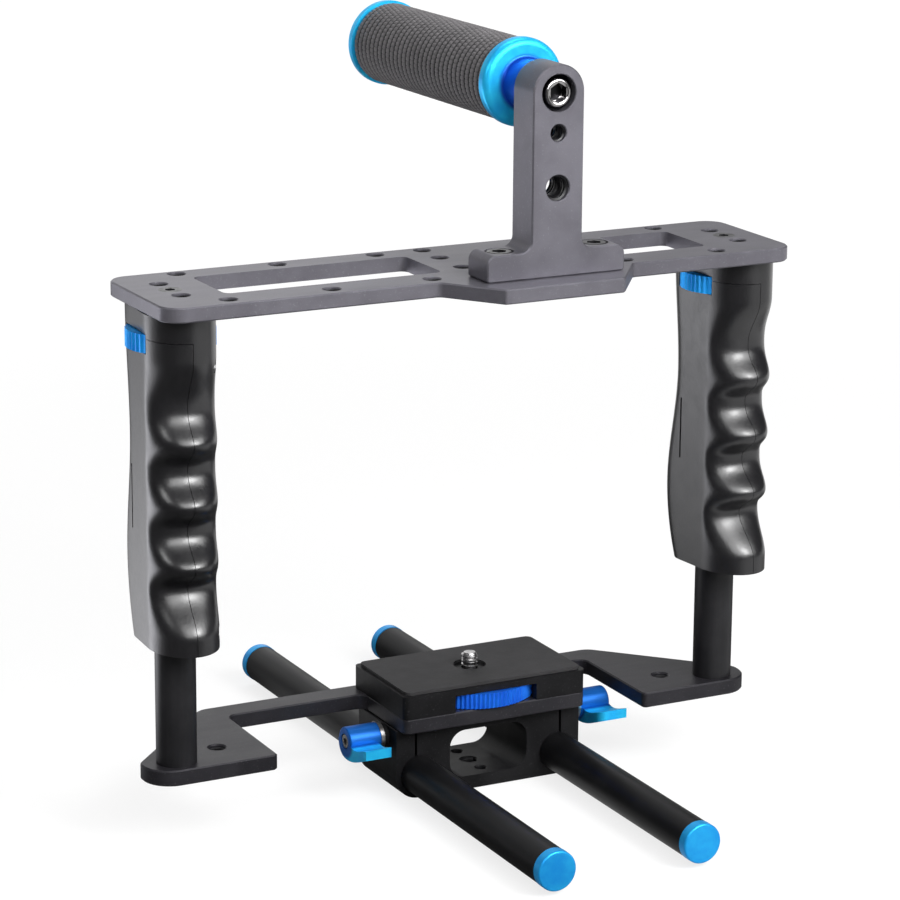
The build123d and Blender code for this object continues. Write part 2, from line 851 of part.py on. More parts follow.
def grip_solid():
    """One half of a grip on the +X side, hollow between its two end blocks."""
    step = (grip_top - grip_bottom) / (grip_slices - 1)
    sections = [half_section(grip_bottom + step * slice) for slice in range(grip_slices)]
    body = loft(sections)
    last = grip_groove_count - 1
    shallow = front_reach(grip_top - grip_first_groove - last * grip_groove_pitch)
    body -= block(
        (0, grip_half_width - grip_cavity_wall),
        (grip_cavity_wall - shallow, grip_waist_back - grip_cavity_wall),
        (grip_bottom + 10.0, lock_wheel_bottom - collar_length - 1.0),
    )
    body -= bar_z(tube_diameter / 2 + side_gap, grip_bottom, grip_top, 0, 0)
    chamber = lock_wheel_diameter / 2 + side_gap
    body -= bar_z(chamber, lock_wheel_bottom - side_gap, lock_wheel_top + side_gap, 0, 0)
    bush = bush_diameter / 2
    body -= bar_z(bush, grip_bottom, grip_bottom + bush_length, 0, 0)
    body -= bar_z(bush, grip_top - bush_length, grip_top, 0, 0)
    seat = lock_wheel_bottom - side_gap - collar_length
    body -= bar_z(collar_diameter / 2, seat, lock_wheel_bottom, 0, 0)
    return body


def make_grip_shells():
    """The two moulded shells. The one on the +X side carries the whole upper end."""
    right = grip_solid()
    left = mirrored(right)
    reach = 2 * grip_front_bottom
    step_height = lock_wheel_top - 1.2
    upper = block((-reach, 0), (-reach, reach), (step_height, grip_top))
    right += left & upper
    left -= block((-reach, 0), (-reach, reach), (step_height - 2 * grip_seam, grip_top))
    left -= block((-grip_seam, 0), (-reach, reach), (grip_bottom, grip_top))
    right -= block((0, grip_seam), (-reach, reach), (grip_bottom, step_height))
    for y, z in grip_screw_places():
        left -= bar_x(grip_screw_thread / 2, -grip_screw_reach, 0, y, z)
        right -= bar_x(grip_screw_thread / 2, 0, grip_half_width, y, z)
        right -= bar_x(grip_screw_head / 2, grip_screw_seat, grip_half_width, y, z)
    slit = (grip_back_radius - grip_slit_width, grip_back_radius)
    heights = (grip_slit_top - grip_slit_length, grip_slit_top)
    left -= block((-grip_half_width, 1.0 - grip_half_width), slit, heights)
    return left, right


def make_grip_screws():
    screw = socket_screw(
        grip_screw_thread,
        grip_screw_head,
        grip_screw_thread,
        grip_screw_seat + grip_screw_reach,
    )
    turned = Rot(0, 90, 0) * screw
    return [Pos(grip_screw_seat, y, z) * turned for y, z in grip_screw_places()]


def make_lock_wheel():
    radius = lock_wheel_diameter / 2
    body = toothed_disc(radius, 0.4, lock_wheel_knurls, lock_wheel_bottom, lock_wheel_top)
    hole = tube_diameter / 2 + running_gap
    return body - bar_z(hole, lock_wheel_bottom, lock_wheel_top, 0, 0)


def make_lock_collar():
    """Split collar that the wheel tightens on the tube."""
    top = lock_wheel_bottom - side_gap
    bottom = top - collar_length
    body = bar_z(collar_diameter / 2, bottom, top, 0, 0)
    body -= bar_z(tube_diameter / 2 + running_gap, bottom, top, 0, 0)
    gap = block((-collar_split / 2, collar_split / 2), (0, collar_diameter), (bottom, top))
    return body - gap


def make_grip_bushes():
    bushes = []
    for bottom in (grip_bottom, grip_top - bush_length):
        bush = bar_z(bush_diameter / 2, bottom, bottom + bush_length, 0, 0)
        hole = tube_diameter / 2 + running_gap
        bushes.append(bush - bar_z(hole, bottom, bottom + bush_length, 0, 0))
    return bushes


def placed(shapes, tube_x, turn):
    """Turn grip pieces about their tube and move them onto it."""
    place = Pos(tube_x, 0, 0) * Rot(0, 0, turn)
    if isinstance(shapes, list):
        return [place * shape for shape in shapes]
    return place * shapes


# -------------------------------------------------------------------- assembly
def build_nodes():
    nodes = {
        "top_plate": make_top_plate(),
        "base_plate": make_base_plate(),
        "left_tube": make_tube(tube_left),
        "right_tube": make_tube(tube_right),
        "left_tube_inserts": make_tube_inserts(tube_left),
        "right_tube_inserts": make_tube_inserts(tube_right),
        "tube_top_screws": make_tube_top_screws(),
        "tube_bottom_screws": make_tube_bottom_screws(),
        "handle_post": make_handle_post(),
        "post_screws": make_post_screws(),
        "handle_bolt": make_handle_bolt(),
        "handle_front_flange": make_front_flange(),
        "handle_core": make_handle_core(),
        "handle_sleeve": make_handle_sleeve(),
        "handle_rear_flange": make_rear_flange(),
        "handle_rear_screw": make_rear_screw(),
        "clamp_block": make_clamp_block(),
        "block_screws": make_block_screws(),
        "left_spacer": make_spacer(-1),
        "right_spacer": make_spacer(1),
        "camera_carrier": make_carrier(),
        "platform_screws": make_platform_screws(),
        "camera_pad": make_camera_pad(),
        "thumb_wheel": make_thumb_wheel(),
        "camera_screw": make_camera_screw(),
    }
    for name, x in (("left", -rod_spacing / 2), ("right", rod_spacing / 2)):
        nodes[name + "_rod"] = make_rod(x)
        nodes[name + "_rod_caps"] = make_rod_caps(x)
    lever_pieces = {
        "lever": make_left_lever(),
        "lever_stud": make_left_stud(),
        "lever_screw": make_left_lever_screw(),
        "lever_washer": make_left_washer(),
    }
    for name, piece in lever_pieces.items():
        nodes["left_" + name] = piece
        nodes["right_" + name] = mirrored(piece)
    left_shell, right_shell = make_grip_shells()
    grip_pieces = {
        "grip_shell_left": left_shell,
        "grip_shell_right": right_shell,
        "grip_screws": make_grip_screws(),
        "grip_bushes": make_grip_bushes(),
        "lock_wheel": make_lock_wheel(),
        "lock_collar": make_lock_collar(),
    }
    for name, piece in grip_pieces.items():
        nodes["left_" + name] = placed(piece, tube_left, grip_left_turn)
        nodes["right_" + name] = placed(piece, tube_right, grip_right_turn)
    return nodes


to_origin = Pos(0, -platform_centre_y, 0)
os.makedirs("parts", exist_ok=True)
for node_name, shape in build_nodes().items():
    if isinstance(shape, list):
        shape = Compound(children=[Compound(piece.wrapped) for piece in shape])
    export_step(to_origin * shape, "parts/" + node_name + ".step")
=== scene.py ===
import json
import math

import bmesh
import bpy
from mathutils import Matrix, Vector


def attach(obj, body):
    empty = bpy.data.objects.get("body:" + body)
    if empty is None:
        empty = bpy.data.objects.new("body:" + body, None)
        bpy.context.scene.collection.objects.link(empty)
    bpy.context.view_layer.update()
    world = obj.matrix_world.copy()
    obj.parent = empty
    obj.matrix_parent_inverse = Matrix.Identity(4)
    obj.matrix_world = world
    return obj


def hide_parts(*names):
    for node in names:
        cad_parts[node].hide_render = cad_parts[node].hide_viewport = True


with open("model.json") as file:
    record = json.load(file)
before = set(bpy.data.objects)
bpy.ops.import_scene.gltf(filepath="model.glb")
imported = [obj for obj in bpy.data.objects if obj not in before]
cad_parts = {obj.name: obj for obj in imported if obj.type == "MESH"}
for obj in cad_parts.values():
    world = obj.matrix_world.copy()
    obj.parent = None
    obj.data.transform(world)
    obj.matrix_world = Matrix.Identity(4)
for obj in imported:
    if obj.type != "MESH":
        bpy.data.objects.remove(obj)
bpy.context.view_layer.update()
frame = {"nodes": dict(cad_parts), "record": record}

cad_nodes = frame["nodes"]
MM = 0.001

# ------------------------------------------------------------ sizes of the cage, mm
TUBE_Y = -25.0
LEFT_TUBE_X = -133.2
RIGHT_TUBE_X = 94.5
TOP_PLATE_BOTTOM = 204.5
TOP_PLATE_TOP = 210.0
BASE_PLATE_BOTTOM = 28.2
BASE_PLATE_TOP = 34.2
BLOCK_BOTTOM = 0.0
BLOCK_FLOOR = 5.3
ROD_X = 30.0
ROD_Z = 9.5
LEVER_Y = -6.0
LEVER_Z = 23.5
LEVER_HUB_RADIUS = 5.5
HANDLE_Z = 276.4
POST_FRONT = -64.6
POST_REAR = -49.4
SLEEVE_FRONT = -34.1
SLEEVE_REAR = 71.9
SLEEVE_RADIUS = 15.5
NECK_RADIUS = 9.0
QUARTER_INCH = 6.35
QUARTER_INCH_PITCH = 1.27
THREE_EIGHTHS = 9.525
THREE_EIGHTHS_PITCH = 1.5875
NEAR_AXIS = 0.02  # inner radius of a turned form that is solid to its axis


# ------------------------------------------------------------------- shader maths
class Shade:
    """A varying number on a surface. Arithmetic on it adds the Math nodes."""

    def __init__(self, finish, socket):
        self.finish = finish
        self.socket = socket

    def math(self, operation, *values):
        return self.finish.add("ShaderNodeMath", {"operation": operation}, values)

    def __add__(self, other):
        return self.math("ADD", self, other)

    def __radd__(self, other):
        return self.math("ADD", other, self)

    def __sub__(self, other):
        return self.math("SUBTRACT", self, other)

    def __rsub__(self, other):
        return self.math("SUBTRACT", other, self)

    def __mul__(self, other):
        return self.math("MULTIPLY", self, other)

    def __rmul__(self, other):
        return self.math("MULTIPLY", other, self)

    def larger(self, other):
        return self.math("MAXIMUM", self, other)

    def smooth(self, low, high):
        """0 below low, 1 above high, smooth between."""
        settings = {"interpolation_type": "SMOOTHSTEP"}
        return self.finish.add("ShaderNodeMapRange", settings, [self, low, high, 0.0, 1.0])


class Finish:
    """The nodes of one material, named for the surface treatment, or of the world."""

    def __init__(self, name, world=None):
        self.owner = world or bpy.data.materials.new(name)
        self.owner.use_nodes = True
        self.nodes = self.owner.node_tree.nodes
        self.links = self.owner.node_tree.links
        self.nodes.clear()

    def add(self, kind, settings, inputs, output=0):
        """Add a node: its settings first, then a value or a link for each socket."""
        node = self.nodes.new(kind)
        for name, value in settings.items():
            setattr(node, name, value)
        pairs = inputs.items() if isinstance(inputs, dict) else enumerate(inputs)
        for key, value in pairs:
            if isinstance(value, Shade):
                self.links.new(value.socket, node.inputs[key])
            else:
                node.inputs[key].default_value = value
        return Shade(self, node.outputs[output]) if node.outputs else None

    def place(self, stretch=(1.0, 1.0, 1.0), centre=(0.0, 0.0, 0.0)):
        """Object coordinates about a centre in millimetres, stretched along the axes."""
        here = self.add("ShaderNodeTexCoord", {}, {}, "Object")
        shift = [-c * MM * s for c, s in zip(centre, stretch)]
        sockets = {"Location": shift, "Scale": stretch, "Vector": here}
        return self.add("ShaderNodeMapping", {"vector_type": "POINT"}, sockets)

    def noise(self, place, scale, detail=3.0, rough=0.55):
        sockets = {"Vector": place, "Scale": scale, "Detail": detail, "Roughness": rough}
        return self.add("ShaderNodeTexNoise", {}, sockets)

    def length(self, vector):
        return self.add("ShaderNodeVectorMath", {"operation": "LENGTH"}, [vector], 1)

    def along(self, vector, direction):
        """How far a vector reaches along a direction."""
        settings = {"operation": "DOT_PRODUCT"}
        return self.add("ShaderNodeVectorMath", settings, [vector, direction], 1)

    def ray(self, kind):
        """1 for rays of one kind, such as Is Camera Ray, and 0 for others."""
        return self.add("ShaderNodeLightPath", {}, {}, kind)

    def cells(self, place, scale):
        sockets = {"Vector": place, "Scale": scale}
        return self.add("ShaderNodeTexVoronoi", {"feature": "F1"}, sockets)

    def mix(self, share, first, second):
        settings = {"data_type": "RGBA"}
        return self.add("ShaderNodeMix", settings, {0: share, 6: first, 7: second}, 2)

    def bump(self, height, strength, depth, under=None):
        sockets = {"Height": height, "Strength": strength, "Distance": depth * MM}
        if under is not None:
            sockets["Normal"] = under
        return self.add("ShaderNodeBump", {}, sockets)

    def surface(self, **sockets):
        """Close the material with the surface shader and return the material."""
        names = {key.replace("_", " "): value for key, value in sockets.items()}
        shader = self.add("ShaderNodeBsdfPrincipled", {}, names)
        self.add("ShaderNodeOutputMaterial", {}, [shader])
        return self.owner


def rgb(red, green, blue):
    return (red, green, blue, 1.0)


# ---------------------------------------------------------------------- finishes
def blasted_finish(name, deep, pale, metallic, roughness, dust_share=0.22, specular=0.45):
    """Bead-blasted and dyed aluminium: fine pits, cloudy colour, a dust of pale specks."""
    finish = Finish(name)
    here = finish.place()
    pits = finish.noise(here, 2600.0, 2.0, 0.6)
    orange = finish.noise(here, 620.0, 3.0, 0.5)
    cloud = finish.noise(here, 55.0, 4.0, 0.6)
    wipe = finish.noise(finish.place((1.0, 6.0, 1.0)), 34.0, 3.0, 0.5)
    dust = finish.noise(here, 1500.0, 1.0, 0.4).smooth(0.66, 0.74)
    share = cloud.smooth(0.3, 0.72) * 0.55 + pits * 0.3 + wipe * 0.15
    dyed = finish.mix(share, deep, pale)
    base = finish.mix(dust * dust_share, dyed, rgb(0.34, 0.34, 0.36))
    rough = roughness + (cloud - 0.5) * 0.16 + (wipe - 0.5) * 0.1 + (pits - 0.5) * 0.06
    normal = finish.bump(pits + orange * 0.8, 0.35, 0.05)
    return finish.surface(
        Base_Color=base,
        Metallic=metallic,
        Roughness=rough,
        Normal=normal,
        Specular_IOR_Level=specular,
    )


def drawn_finish(name, along, deep, pale, roughness, specular=0.35):
    """Satin dyed tube: fine draw lines along one axis and faint handling marks."""
    finish = Finish(name)
    stretch = [1.0, 1.0, 1.0]
    stretch["XYZ".index(along)] = 0.02
    lines = finish.noise(finish.place(stretch), 1700.0, 2.0, 0.6)
    here = finish.place()
    handling = finish.noise(here, 60.0, 5.0, 0.65)
    grain = finish.noise(here, 2200.0, 1.0, 0.5)
    base = finish.mix(handling.smooth(0.3, 0.75) * 0.6 + lines * 0.4, deep, pale)
    rough = roughness + (handling - 0.5) * 0.16 + (lines - 0.5) * 0.12
    normal = finish.bump(lines * 0.8 + grain * 0.6, 0.22, 0.03)
    return finish.surface(
        Base_Color=base,
        Metallic=0.15,
        Roughness=rough,
        Normal=normal,
        Specular_IOR_Level=specular,
    )


def turned_finish(name, along, centre, deep, pale, roughness, lines=1.0, core=None):
    """Turned and dyed metal: rings about one axis, as a lathe tool leaves them.

    The core, where there is one, is a radius and the darker colour painted inside it as shade."""
    finish = Finish(name)
    across = [1.0, 1.0, 1.0]
    across["XYZ".index(along)] = 0.0
    radius = finish.length(finish.place(across, centre))
    only = [0.0, 0.0, 0.0]
    only["XYZ".index(along)] = 1.0
    depth = finish.along(finish.place(centre=centre), only)
    rings = finish.add(
        "ShaderNodeTexNoise",
        {"noise_dimensions": "1D"},
        {"W": radius + depth * 0.8, "Scale": 3600.0, "Detail": 2.0},
    )
    here = finish.place()
    cloud = finish.noise(here, 130.0, 4.0, 0.6)
    grain = finish.noise(here, 2400.0, 1.0, 0.5)
    base = finish.mix(cloud.smooth(0.3, 0.7) * 0.6 + rings * 0.4, deep, pale)
    # painted shade: inside the core's radius the colour turns to the darker shade tint
    if core:
        reach, shade_tint = core
        inside = 1.0 - radius.smooth((reach - 1.0) * MM, (reach + 1.0) * MM)
        base = finish.mix(inside, base, shade_tint)
    rough = roughness + (cloud - 0.5) * 0.12 + (rings - 0.5) * 0.14
    normal = finish.bump(rings * lines + grain * 0.4, 0.2, 0.03)
    return finish.surface(
        Base_Color=base,
        Metallic=0.5,
        Roughness=rough,
        Normal=normal,
        Specular_IOR_Level=0.25,
    )


def moulded_finish(name, deep, pale, roughness, grain_scale, grain_depth, specular=0.5):
    """Moulded plastic or rubber: spark-eroded grain over soft flow clouding."""
    finish = Finish(name)
    here = finish.place()
    grain = finish.noise(here, grain_scale, 2.0, 0.65)
    leather = finish.cells(here, grain_scale * 0.55)
    flow = finish.noise(finish.place((1.0, 1.0, 0.35)), 42.0, 4.0, 0.6)
    touch = finish.noise(here, 150.0, 3.0, 0.6)
    base = finish.mix(flow.smooth(0.25, 0.75) * 0.7 + grain * 0.3, deep, pale)
    rough = roughness + (flow - 0.5) * 0.14 + (touch - 0.5) * 0.16 + (grain - 0.5) * 0.1
    waves = finish.bump(touch, 0.12, 0.25)
    normal = finish.bump(grain * 0.7 + leather * 0.5, 0.4, grain_depth, waves)
    return finish.surface(
        Base_Color=base,
        Metallic=0.0,
        Roughness=rough,
        Normal=normal,
        Specular_IOR_Level=specular,
    )


def ribbed_finish(name):
    """Rubber of the sleeve: near black in its grooves as painted shade, painted paler on the crests
    as a highlight.
    """
    finish = Finish(name)
    here = finish.place()
    radius = finish.length(finish.place((1.0, 0.0, 1.0), (0.0, 0.0, HANDLE_Z)))
    crest = radius.smooth((SLEEVE_RADIUS - 0.7) * MM, (SLEEVE_RADIUS - 0.1) * MM)
    wear_and_sheen = finish.noise(here, 70.0, 4.0, 0.65)
    fleck = finish.noise(here, 1400.0, 2.0, 0.6)
    # painted highlight on the crests, mottled by noise; the grooves keep the near black as painted
    # shade
    share = crest * (wear_and_sheen * 0.6 + fleck * 0.7)
    base = finish.mix(share, rgb(0.004, 0.004, 0.005), rgb(0.2, 0.19, 0.198))
    rough = 0.62 - crest * 0.12 + (wear_and_sheen - 0.5) * 0.2
    normal = finish.bump(fleck, 0.35, 0.05)
    return finish.surface(
        Base_Color=base,
        Metallic=0.0,
        Roughness=rough,
        Normal=normal,
        Specular_IOR_Level=0.45,
    )


def bolt_head_finish(name):
    """Head of the handle bolt: a bright worn ring, with the socket and the shoulder coloured near
    black as painted shade.
    """
    finish = Finish(name)
    here = finish.place()
    radius = finish.length(finish.place((1.0, 0.0, 1.0), (0.0, 0.0, HANDLE_Z)))
    grime = finish.noise(here, 500.0, 4.0, 0.65)
    # painted shade: the socket and the shoulder down in the post's recess are coloured near black
    outside_socket = radius.smooth(3.1 * MM, 3.4 * MM)
    shoulder_shade = (radius + grime * (0.4 * MM)).smooth(5.1 * MM, 5.5 * MM)
    ring = outside_socket * (1.0 - shoulder_shade)
    worn = grime.smooth(0.3, 0.75) * 0.4
    bright = finish.mix(worn, rgb(0.56, 0.55, 0.55), rgb(0.26, 0.25, 0.25))
    base = finish.mix(ring, rgb(0.02, 0.02, 0.022), bright)
    rough = 0.3 - ring * 0.14 + (grime - 0.5) * 0.12
    normal = finish.bump(grime, 0.15, 0.02)
    return finish.surface(Base_Color=base, Metallic=1.0, Roughness=rough, Normal=normal)


def screw_finish(name, deep, pale, roughness, metallic=1.0):
    """Screws and bare steel: fine scratches both ways and a little grime."""
    finish = Finish(name)
    here = finish.place()
    first = finish.noise(finish.place((1.0, 0.06, 1.0)), 2500.0, 2.0, 0.6)
    second = finish.noise(finish.place((0.06, 1.0, 1.0)), 2500.0, 2.0, 0.6)
    grime = finish.noise(here, 420.0, 4.0, 0.65)
    base = finish.mix(grime.smooth(0.35, 0.7), pale, deep)
    rough = roughness + (grime - 0.5) * 0.22 + (first - 0.5) * 0.12
    normal = finish.bump(first + second, 0.2, 0.02)
    return finish.surface(
        Base_Color=base,
        Metallic=metallic,
        Roughness=rough,
        Normal=normal,
        Specular_IOR_Level=0.5,
    )


BLACK_DEEP = rgb(0.003, 0.003, 0.0034)
BLACK_PALE = rgb(0.01, 0.0098, 0.011)
plate_finish = blasted_finish(
    "blasted_grey_anodised",
    deep=rgb(0.122, 0.118, 0.137),
    pale=rgb(0.19, 0.184, 0.212),
    metallic=0.65,
    roughness=0.42,
)
# painted shade: the base plate is the grey plate anodising made far darker, to stand for the shade
# it lies in
base_plate_shaded_finish = blasted_finish(
    "blasted_grey_anodised_painted_shade",
    deep=rgb(0.016, 0.0154, 0.019),
    pale=rgb(0.033, 0.0315, 0.0375),
    metallic=0.5,
    roughness=0.45,
    dust_share=0.08,
)
block_finish = blasted_finish(
    "blasted_black_anodised",
    deep=BLACK_DEEP,
    pale=BLACK_PALE,
    metallic=0.15,
    roughness=0.5,
    dust_share=0.04,
    specular=0.2,
)
upright_finish = drawn_finish(
    "satin_black_tube", "Z", rgb(0.008, 0.008, 0.009), rgb(0.02, 0.0195, 0.022), 0.4
)
# painted shade in part: the rods are black, and coloured darker than the upright tubes to stand for
# shade from above
rod_finish = drawn_finish(
    "satin_black_rod", "Y", rgb(0.003, 0.003, 0.0035), BLACK_PALE, 0.44, specular=0.2
)
BLUE_DEEP = rgb(0.008, 0.25, 0.72)
BLUE_PALE = rgb(0.022, 0.42, 0.82)
AZURE_DEEP = rgb(0.008, 0.27, 0.93)
AZURE_PALE = rgb(0.02, 0.44, 0.98)
left_cap_finish = turned_finish(
    "blue_left_rod_cap", "Y", (-ROD_X, 0, ROD_Z), BLUE_DEEP, BLUE_PALE, 0.38
)
right_cap_finish = turned_finish(
    "blue_right_rod_cap", "Y", (ROD_X, 0, ROD_Z), BLUE_DEEP, BLUE_PALE, 0.38
)
FLANGE_DEEP = rgb(0.012, 0.4, 0.9)
FLANGE_PALE = rgb(0.03, 0.62, 0.97)
flange_finish = turned_finish(
    "blue_handle_flange", "Y", (0, 0, HANDLE_Z), FLANGE_DEEP, FLANGE_PALE, 0.36
)
# painted shade on the front flange: its neck and the foot of its face are a deeper blue, standing
# for the shade there
neck_painted_shade = (NECK_RADIUS + 1.3, rgb(0.006, 0.06, 0.42))
front_flange_finish = turned_finish(
    "blue_front_flange", "Y", (0, 0, HANDLE_Z), FLANGE_DEEP, FLANGE_PALE, 0.36, core=neck_painted_shade
)
left_wheel_finish = turned_finish(
    "blue_left_lock_wheel", "Z", (LEFT_TUBE_X, TUBE_Y, 0), AZURE_DEEP, AZURE_PALE, 0.4
)
right_wheel_finish = turned_finish(
    "blue_right_lock_wheel", "Z", (RIGHT_TUBE_X, TUBE_Y, 0), AZURE_DEEP, AZURE_PALE, 0.4
)
# painted shade in part: the thumb wheel is a deeper blue than the other blue parts, to stand for
# shade from above
thumb_wheel_finish = turned_finish(
    "blue_thumb_wheel", "Z", (0, 0, 0), rgb(0.008, 0.1, 0.7), rgb(0.015, 0.2, 0.85), 0.4
)
# painted shadow on the lever: its hub is a deeper blue, standing for a shadow cast on it from above
hub_painted_shadow = (LEVER_HUB_RADIUS + 1.1, rgb(0.005, 0.1, 0.4))
lever_finish = turned_finish(
    "blue_cast_lever", "X", (0, LEVER_Y, LEVER_Z), FLANGE_DEEP, FLANGE_PALE, 0.4, 0.3, hub_painted_shadow
)
grip_finish = moulded_finish(
    "moulded_black_plastic",
    deep=rgb(0.003, 0.003, 0.0038),
    pale=rgb(0.0085, 0.008, 0.0098),
    roughness=0.33,
    grain_scale=1500.0,
    grain_depth=0.06,
    specular=0.95,
)
sleeve_finish = ribbed_finish("ribbed_black_rubber")
pad_finish = moulded_finish(
    "pad_rubber", rgb(0.01, 0.01, 0.011), rgb(0.028, 0.027, 0.029), 0.75, 900.0, 0.12
)
bush_finish = moulded_finish(
    "bush_plastic", rgb(0.02, 0.02, 0.022), rgb(0.045, 0.044, 0.047), 0.5, 1800.0, 0.04
)
steel_finish = screw_finish("bare_steel", rgb(0.3, 0.3, 0.31), rgb(0.56, 0.55, 0.55), 0.32)
black_screw_finish = screw_finish(
    "black_oxide_steel", rgb(0.02, 0.02, 0.022), rgb(0.075, 0.074, 0.08), 0.34, 0.85
)
bright_screw_finish = screw_finish(
    "bright_steel", rgb(0.32, 0.31, 0.31), rgb(0.66, 0.65, 0.64), 0.22
)
bolt_finish = bolt_head_finish("worn_bolt_head")
# painted shade: the threads in the holes are coloured near black to stand for the shade inside the
# holes
thread_shade_finish = screw_finish(
    "cut_thread", rgb(0.008, 0.008, 0.009), rgb(0.03, 0.0295, 0.032), 0.4, 0.4
)

NODES_OF_FINISH = (
    (plate_finish, "top_plate", "handle_post"),
    (base_plate_shaded_finish, "base_plate"),
    (block_finish, "clamp_block", "left_spacer", "right_spacer", "camera_carrier"),
    (pad_finish, "camera_pad"),
    (upright_finish, "left_tube", "right_tube"),
    (steel_finish, "left_tube_inserts", "right_tube_inserts", "camera_screw"),
    (black_screw_finish, "tube_top_screws", "tube_bottom_screws", "post_screws"),
    (black_screw_finish, "block_screws", "platform_screws", "handle_rear_screw"),
    (bolt_finish, "handle_bolt"),
    (front_flange_finish, "handle_front_flange"),
    (flange_finish, "handle_rear_flange"),
    (bush_finish, "handle_core"),
    (sleeve_finish, "handle_sleeve"),
    (thumb_wheel_finish, "thumb_wheel"),
    (rod_finish, "left_rod", "right_rod"),
    (left_cap_finish, "left_rod_caps"),
    (right_cap_finish, "right_rod_caps"),
    (left_wheel_finish, "left_lock_wheel"),
    (right_wheel_finish, "right_lock_wheel"),
)
NODES_OF_FINISH_ON_BOTH_SIDES = (
    (lever_finish, "lever"),
    (steel_finish, "lever_stud", "lever_washer", "lock_collar"),
    (bright_screw_finish, "lever_screw"),
    (grip_finish, "grip_shell_left", "grip_shell_right"),
    (black_screw_finish, "grip_screws"),
    (bush_finish, "grip_bushes"),
)
FINISH_OF_NODE = {node: finish for finish, *nodes in NODES_OF_FINISH for node in nodes}
for finish, *nodes in NODES_OF_FINISH_ON_BOTH_SIDES:
    for node in nodes:
        FINISH_OF_NODE["left_" + node] = FINISH_OF_NODE["right_" + node] = finish

BODY_OF_NODE = {}
for body, names in frame["record"]["behaviour"]["bodies"].items():
    for name in names:
        BODY_OF_NODE[name] = body


# --------------------------------------------------------------------- mesh tools
def new_object(name, mesh, finish):
    mesh.materials.clear()
    mesh.materials.append(finish)
    thing = bpy.data.objects.new(name, mesh)
    bpy.context.collection.objects.link(thing)
    return thing


def mesh_from(name, points, faces):
    """A mesh from points in millimetres, its faces turned outwards."""
    mesh = bpy.data.meshes.new(name)
    mesh.from_pydata([Vector(p) * MM for p in points], [], faces)
    form = bmesh.new()
    form.from_mesh(mesh)
    bmesh.ops.remove_doubles(form, verts=form.verts, dist=1e-7)
    bmesh.ops.recalc_face_normals(form, faces=form.faces)
    form.to_mesh(mesh)
    form.free()
    return mesh


def lathe(profile, axis_point, along, count=72):
    """Points and faces of a closed turned form. Profile: (radius, place) outline."""
    points, faces = [], []
    steps = len(profile)
    for turn in range(count):
        angle = 2 * math.pi * turn / count
        for radius, place in profile:
            spoke = (radius * math.cos(angle), radius * math.sin(angle))
            if along == "Y":
                offset = (spoke[0], place, spoke[1])
            elif along == "X":
                offset = (place, spoke[0], spoke[1])
            else:
                offset = (spoke[0], spoke[1], place)
            points.append([a + b for a, b in zip(axis_point, offset)])
    for turn in range(count):
        here, there = turn * steps, (turn + 1) % count * steps
        for step in range(steps):
            after = (step + 1) % steps
            faces.append((here + step, here + after, there + after, there + step))
    return points, faces


def join_forms(name, forms):
    """One mesh from several closed forms given as points and faces."""
    points, faces = [], []
    for form_points, form_faces in forms:
        start = len(points)
        points += form_points
        faces += [tuple(start + index for index in face) for face in form_faces]
    return mesh_from(name, points, faces)


def carve(thing, cutter_mesh):
    """Cut a closed form out of an object's mesh and keep the plain result."""
    cutter = bpy.data.objects.new("cutter", cutter_mesh)
    bpy.context.collection.objects.link(cutter)
    cut = thing.modifiers.new("cut", "BOOLEAN")
    cut.operation = "DIFFERENCE"
    cut.solver = "EXACT"
    cut.object = cutter
    bake_modifiers(thing)
    bpy.data.objects.remove(cutter)


def bake_modifiers(thing):
    """Replace an object's mesh by its evaluated one and drop the modifiers."""
    graph = bpy.context.evaluated_depsgraph_get()
    result = bpy.data.meshes.new_from_object(thing.evaluated_get(graph))
    thing.modifiers.clear()
    thing.data = result


def smooth(thing, degrees=32.0):
    mesh = thing.data
    mesh.polygons.foreach_set("use_smooth", [True] * len(mesh.polygons))
    mesh.set_sharp_from_angle(angle=math.radians(degrees))
    mesh.update()


def settle(thing, body, replaced=()):
    """Fix a finished piece to its body, in place of the nodes it stands for."""
    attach(thing, body)
    if replaced:
        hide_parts(*replaced)


def merged_copy(node):
    """A copy of a CAD node with its triangles joined up."""
    source = cad_nodes[node].data
    mesh = source.copy()
    if "custom_normal" in mesh.attributes:
        mesh.attributes.remove(mesh.attributes["custom_normal"])
    form = bmesh.new()
    form.from_mesh(mesh)
    bmesh.ops.remove_doubles(form, verts=form.verts, dist=2e-6)
    bmesh.ops.dissolve_degenerate(form, dist=1e-7, edges=form.edges)
    form.to_mesh(mesh)
    form.free()
    return new_object(node + "_dressed", mesh, FINISH_OF_NODE[node])


def lead_in(radius, mouth, along, centre, inwards, size):
    """Cone that cuts a chamfer at the mouth of a hole, from outside the surface."""
    outside, past = 0.4, 0.05
    profile = [
        (NEAR_AXIS, -outside),
        (radius + size + outside, -outside),
        (radius - past, size + past),
        (NEAR_AXIS, size + past),
    ]
    turned = [(r, mouth + inwards * depth) for r, depth in profile]
    return lathe(turned, centre, along, 40)


def lead_ins(radius, mouths, along, centre, size):
    """Chamfer cones for the mouths of one hole, each with its way inwards."""
    return [lead_in(radius, mouth, along, centre, inwards, size) for mouth, inwards in mouths]


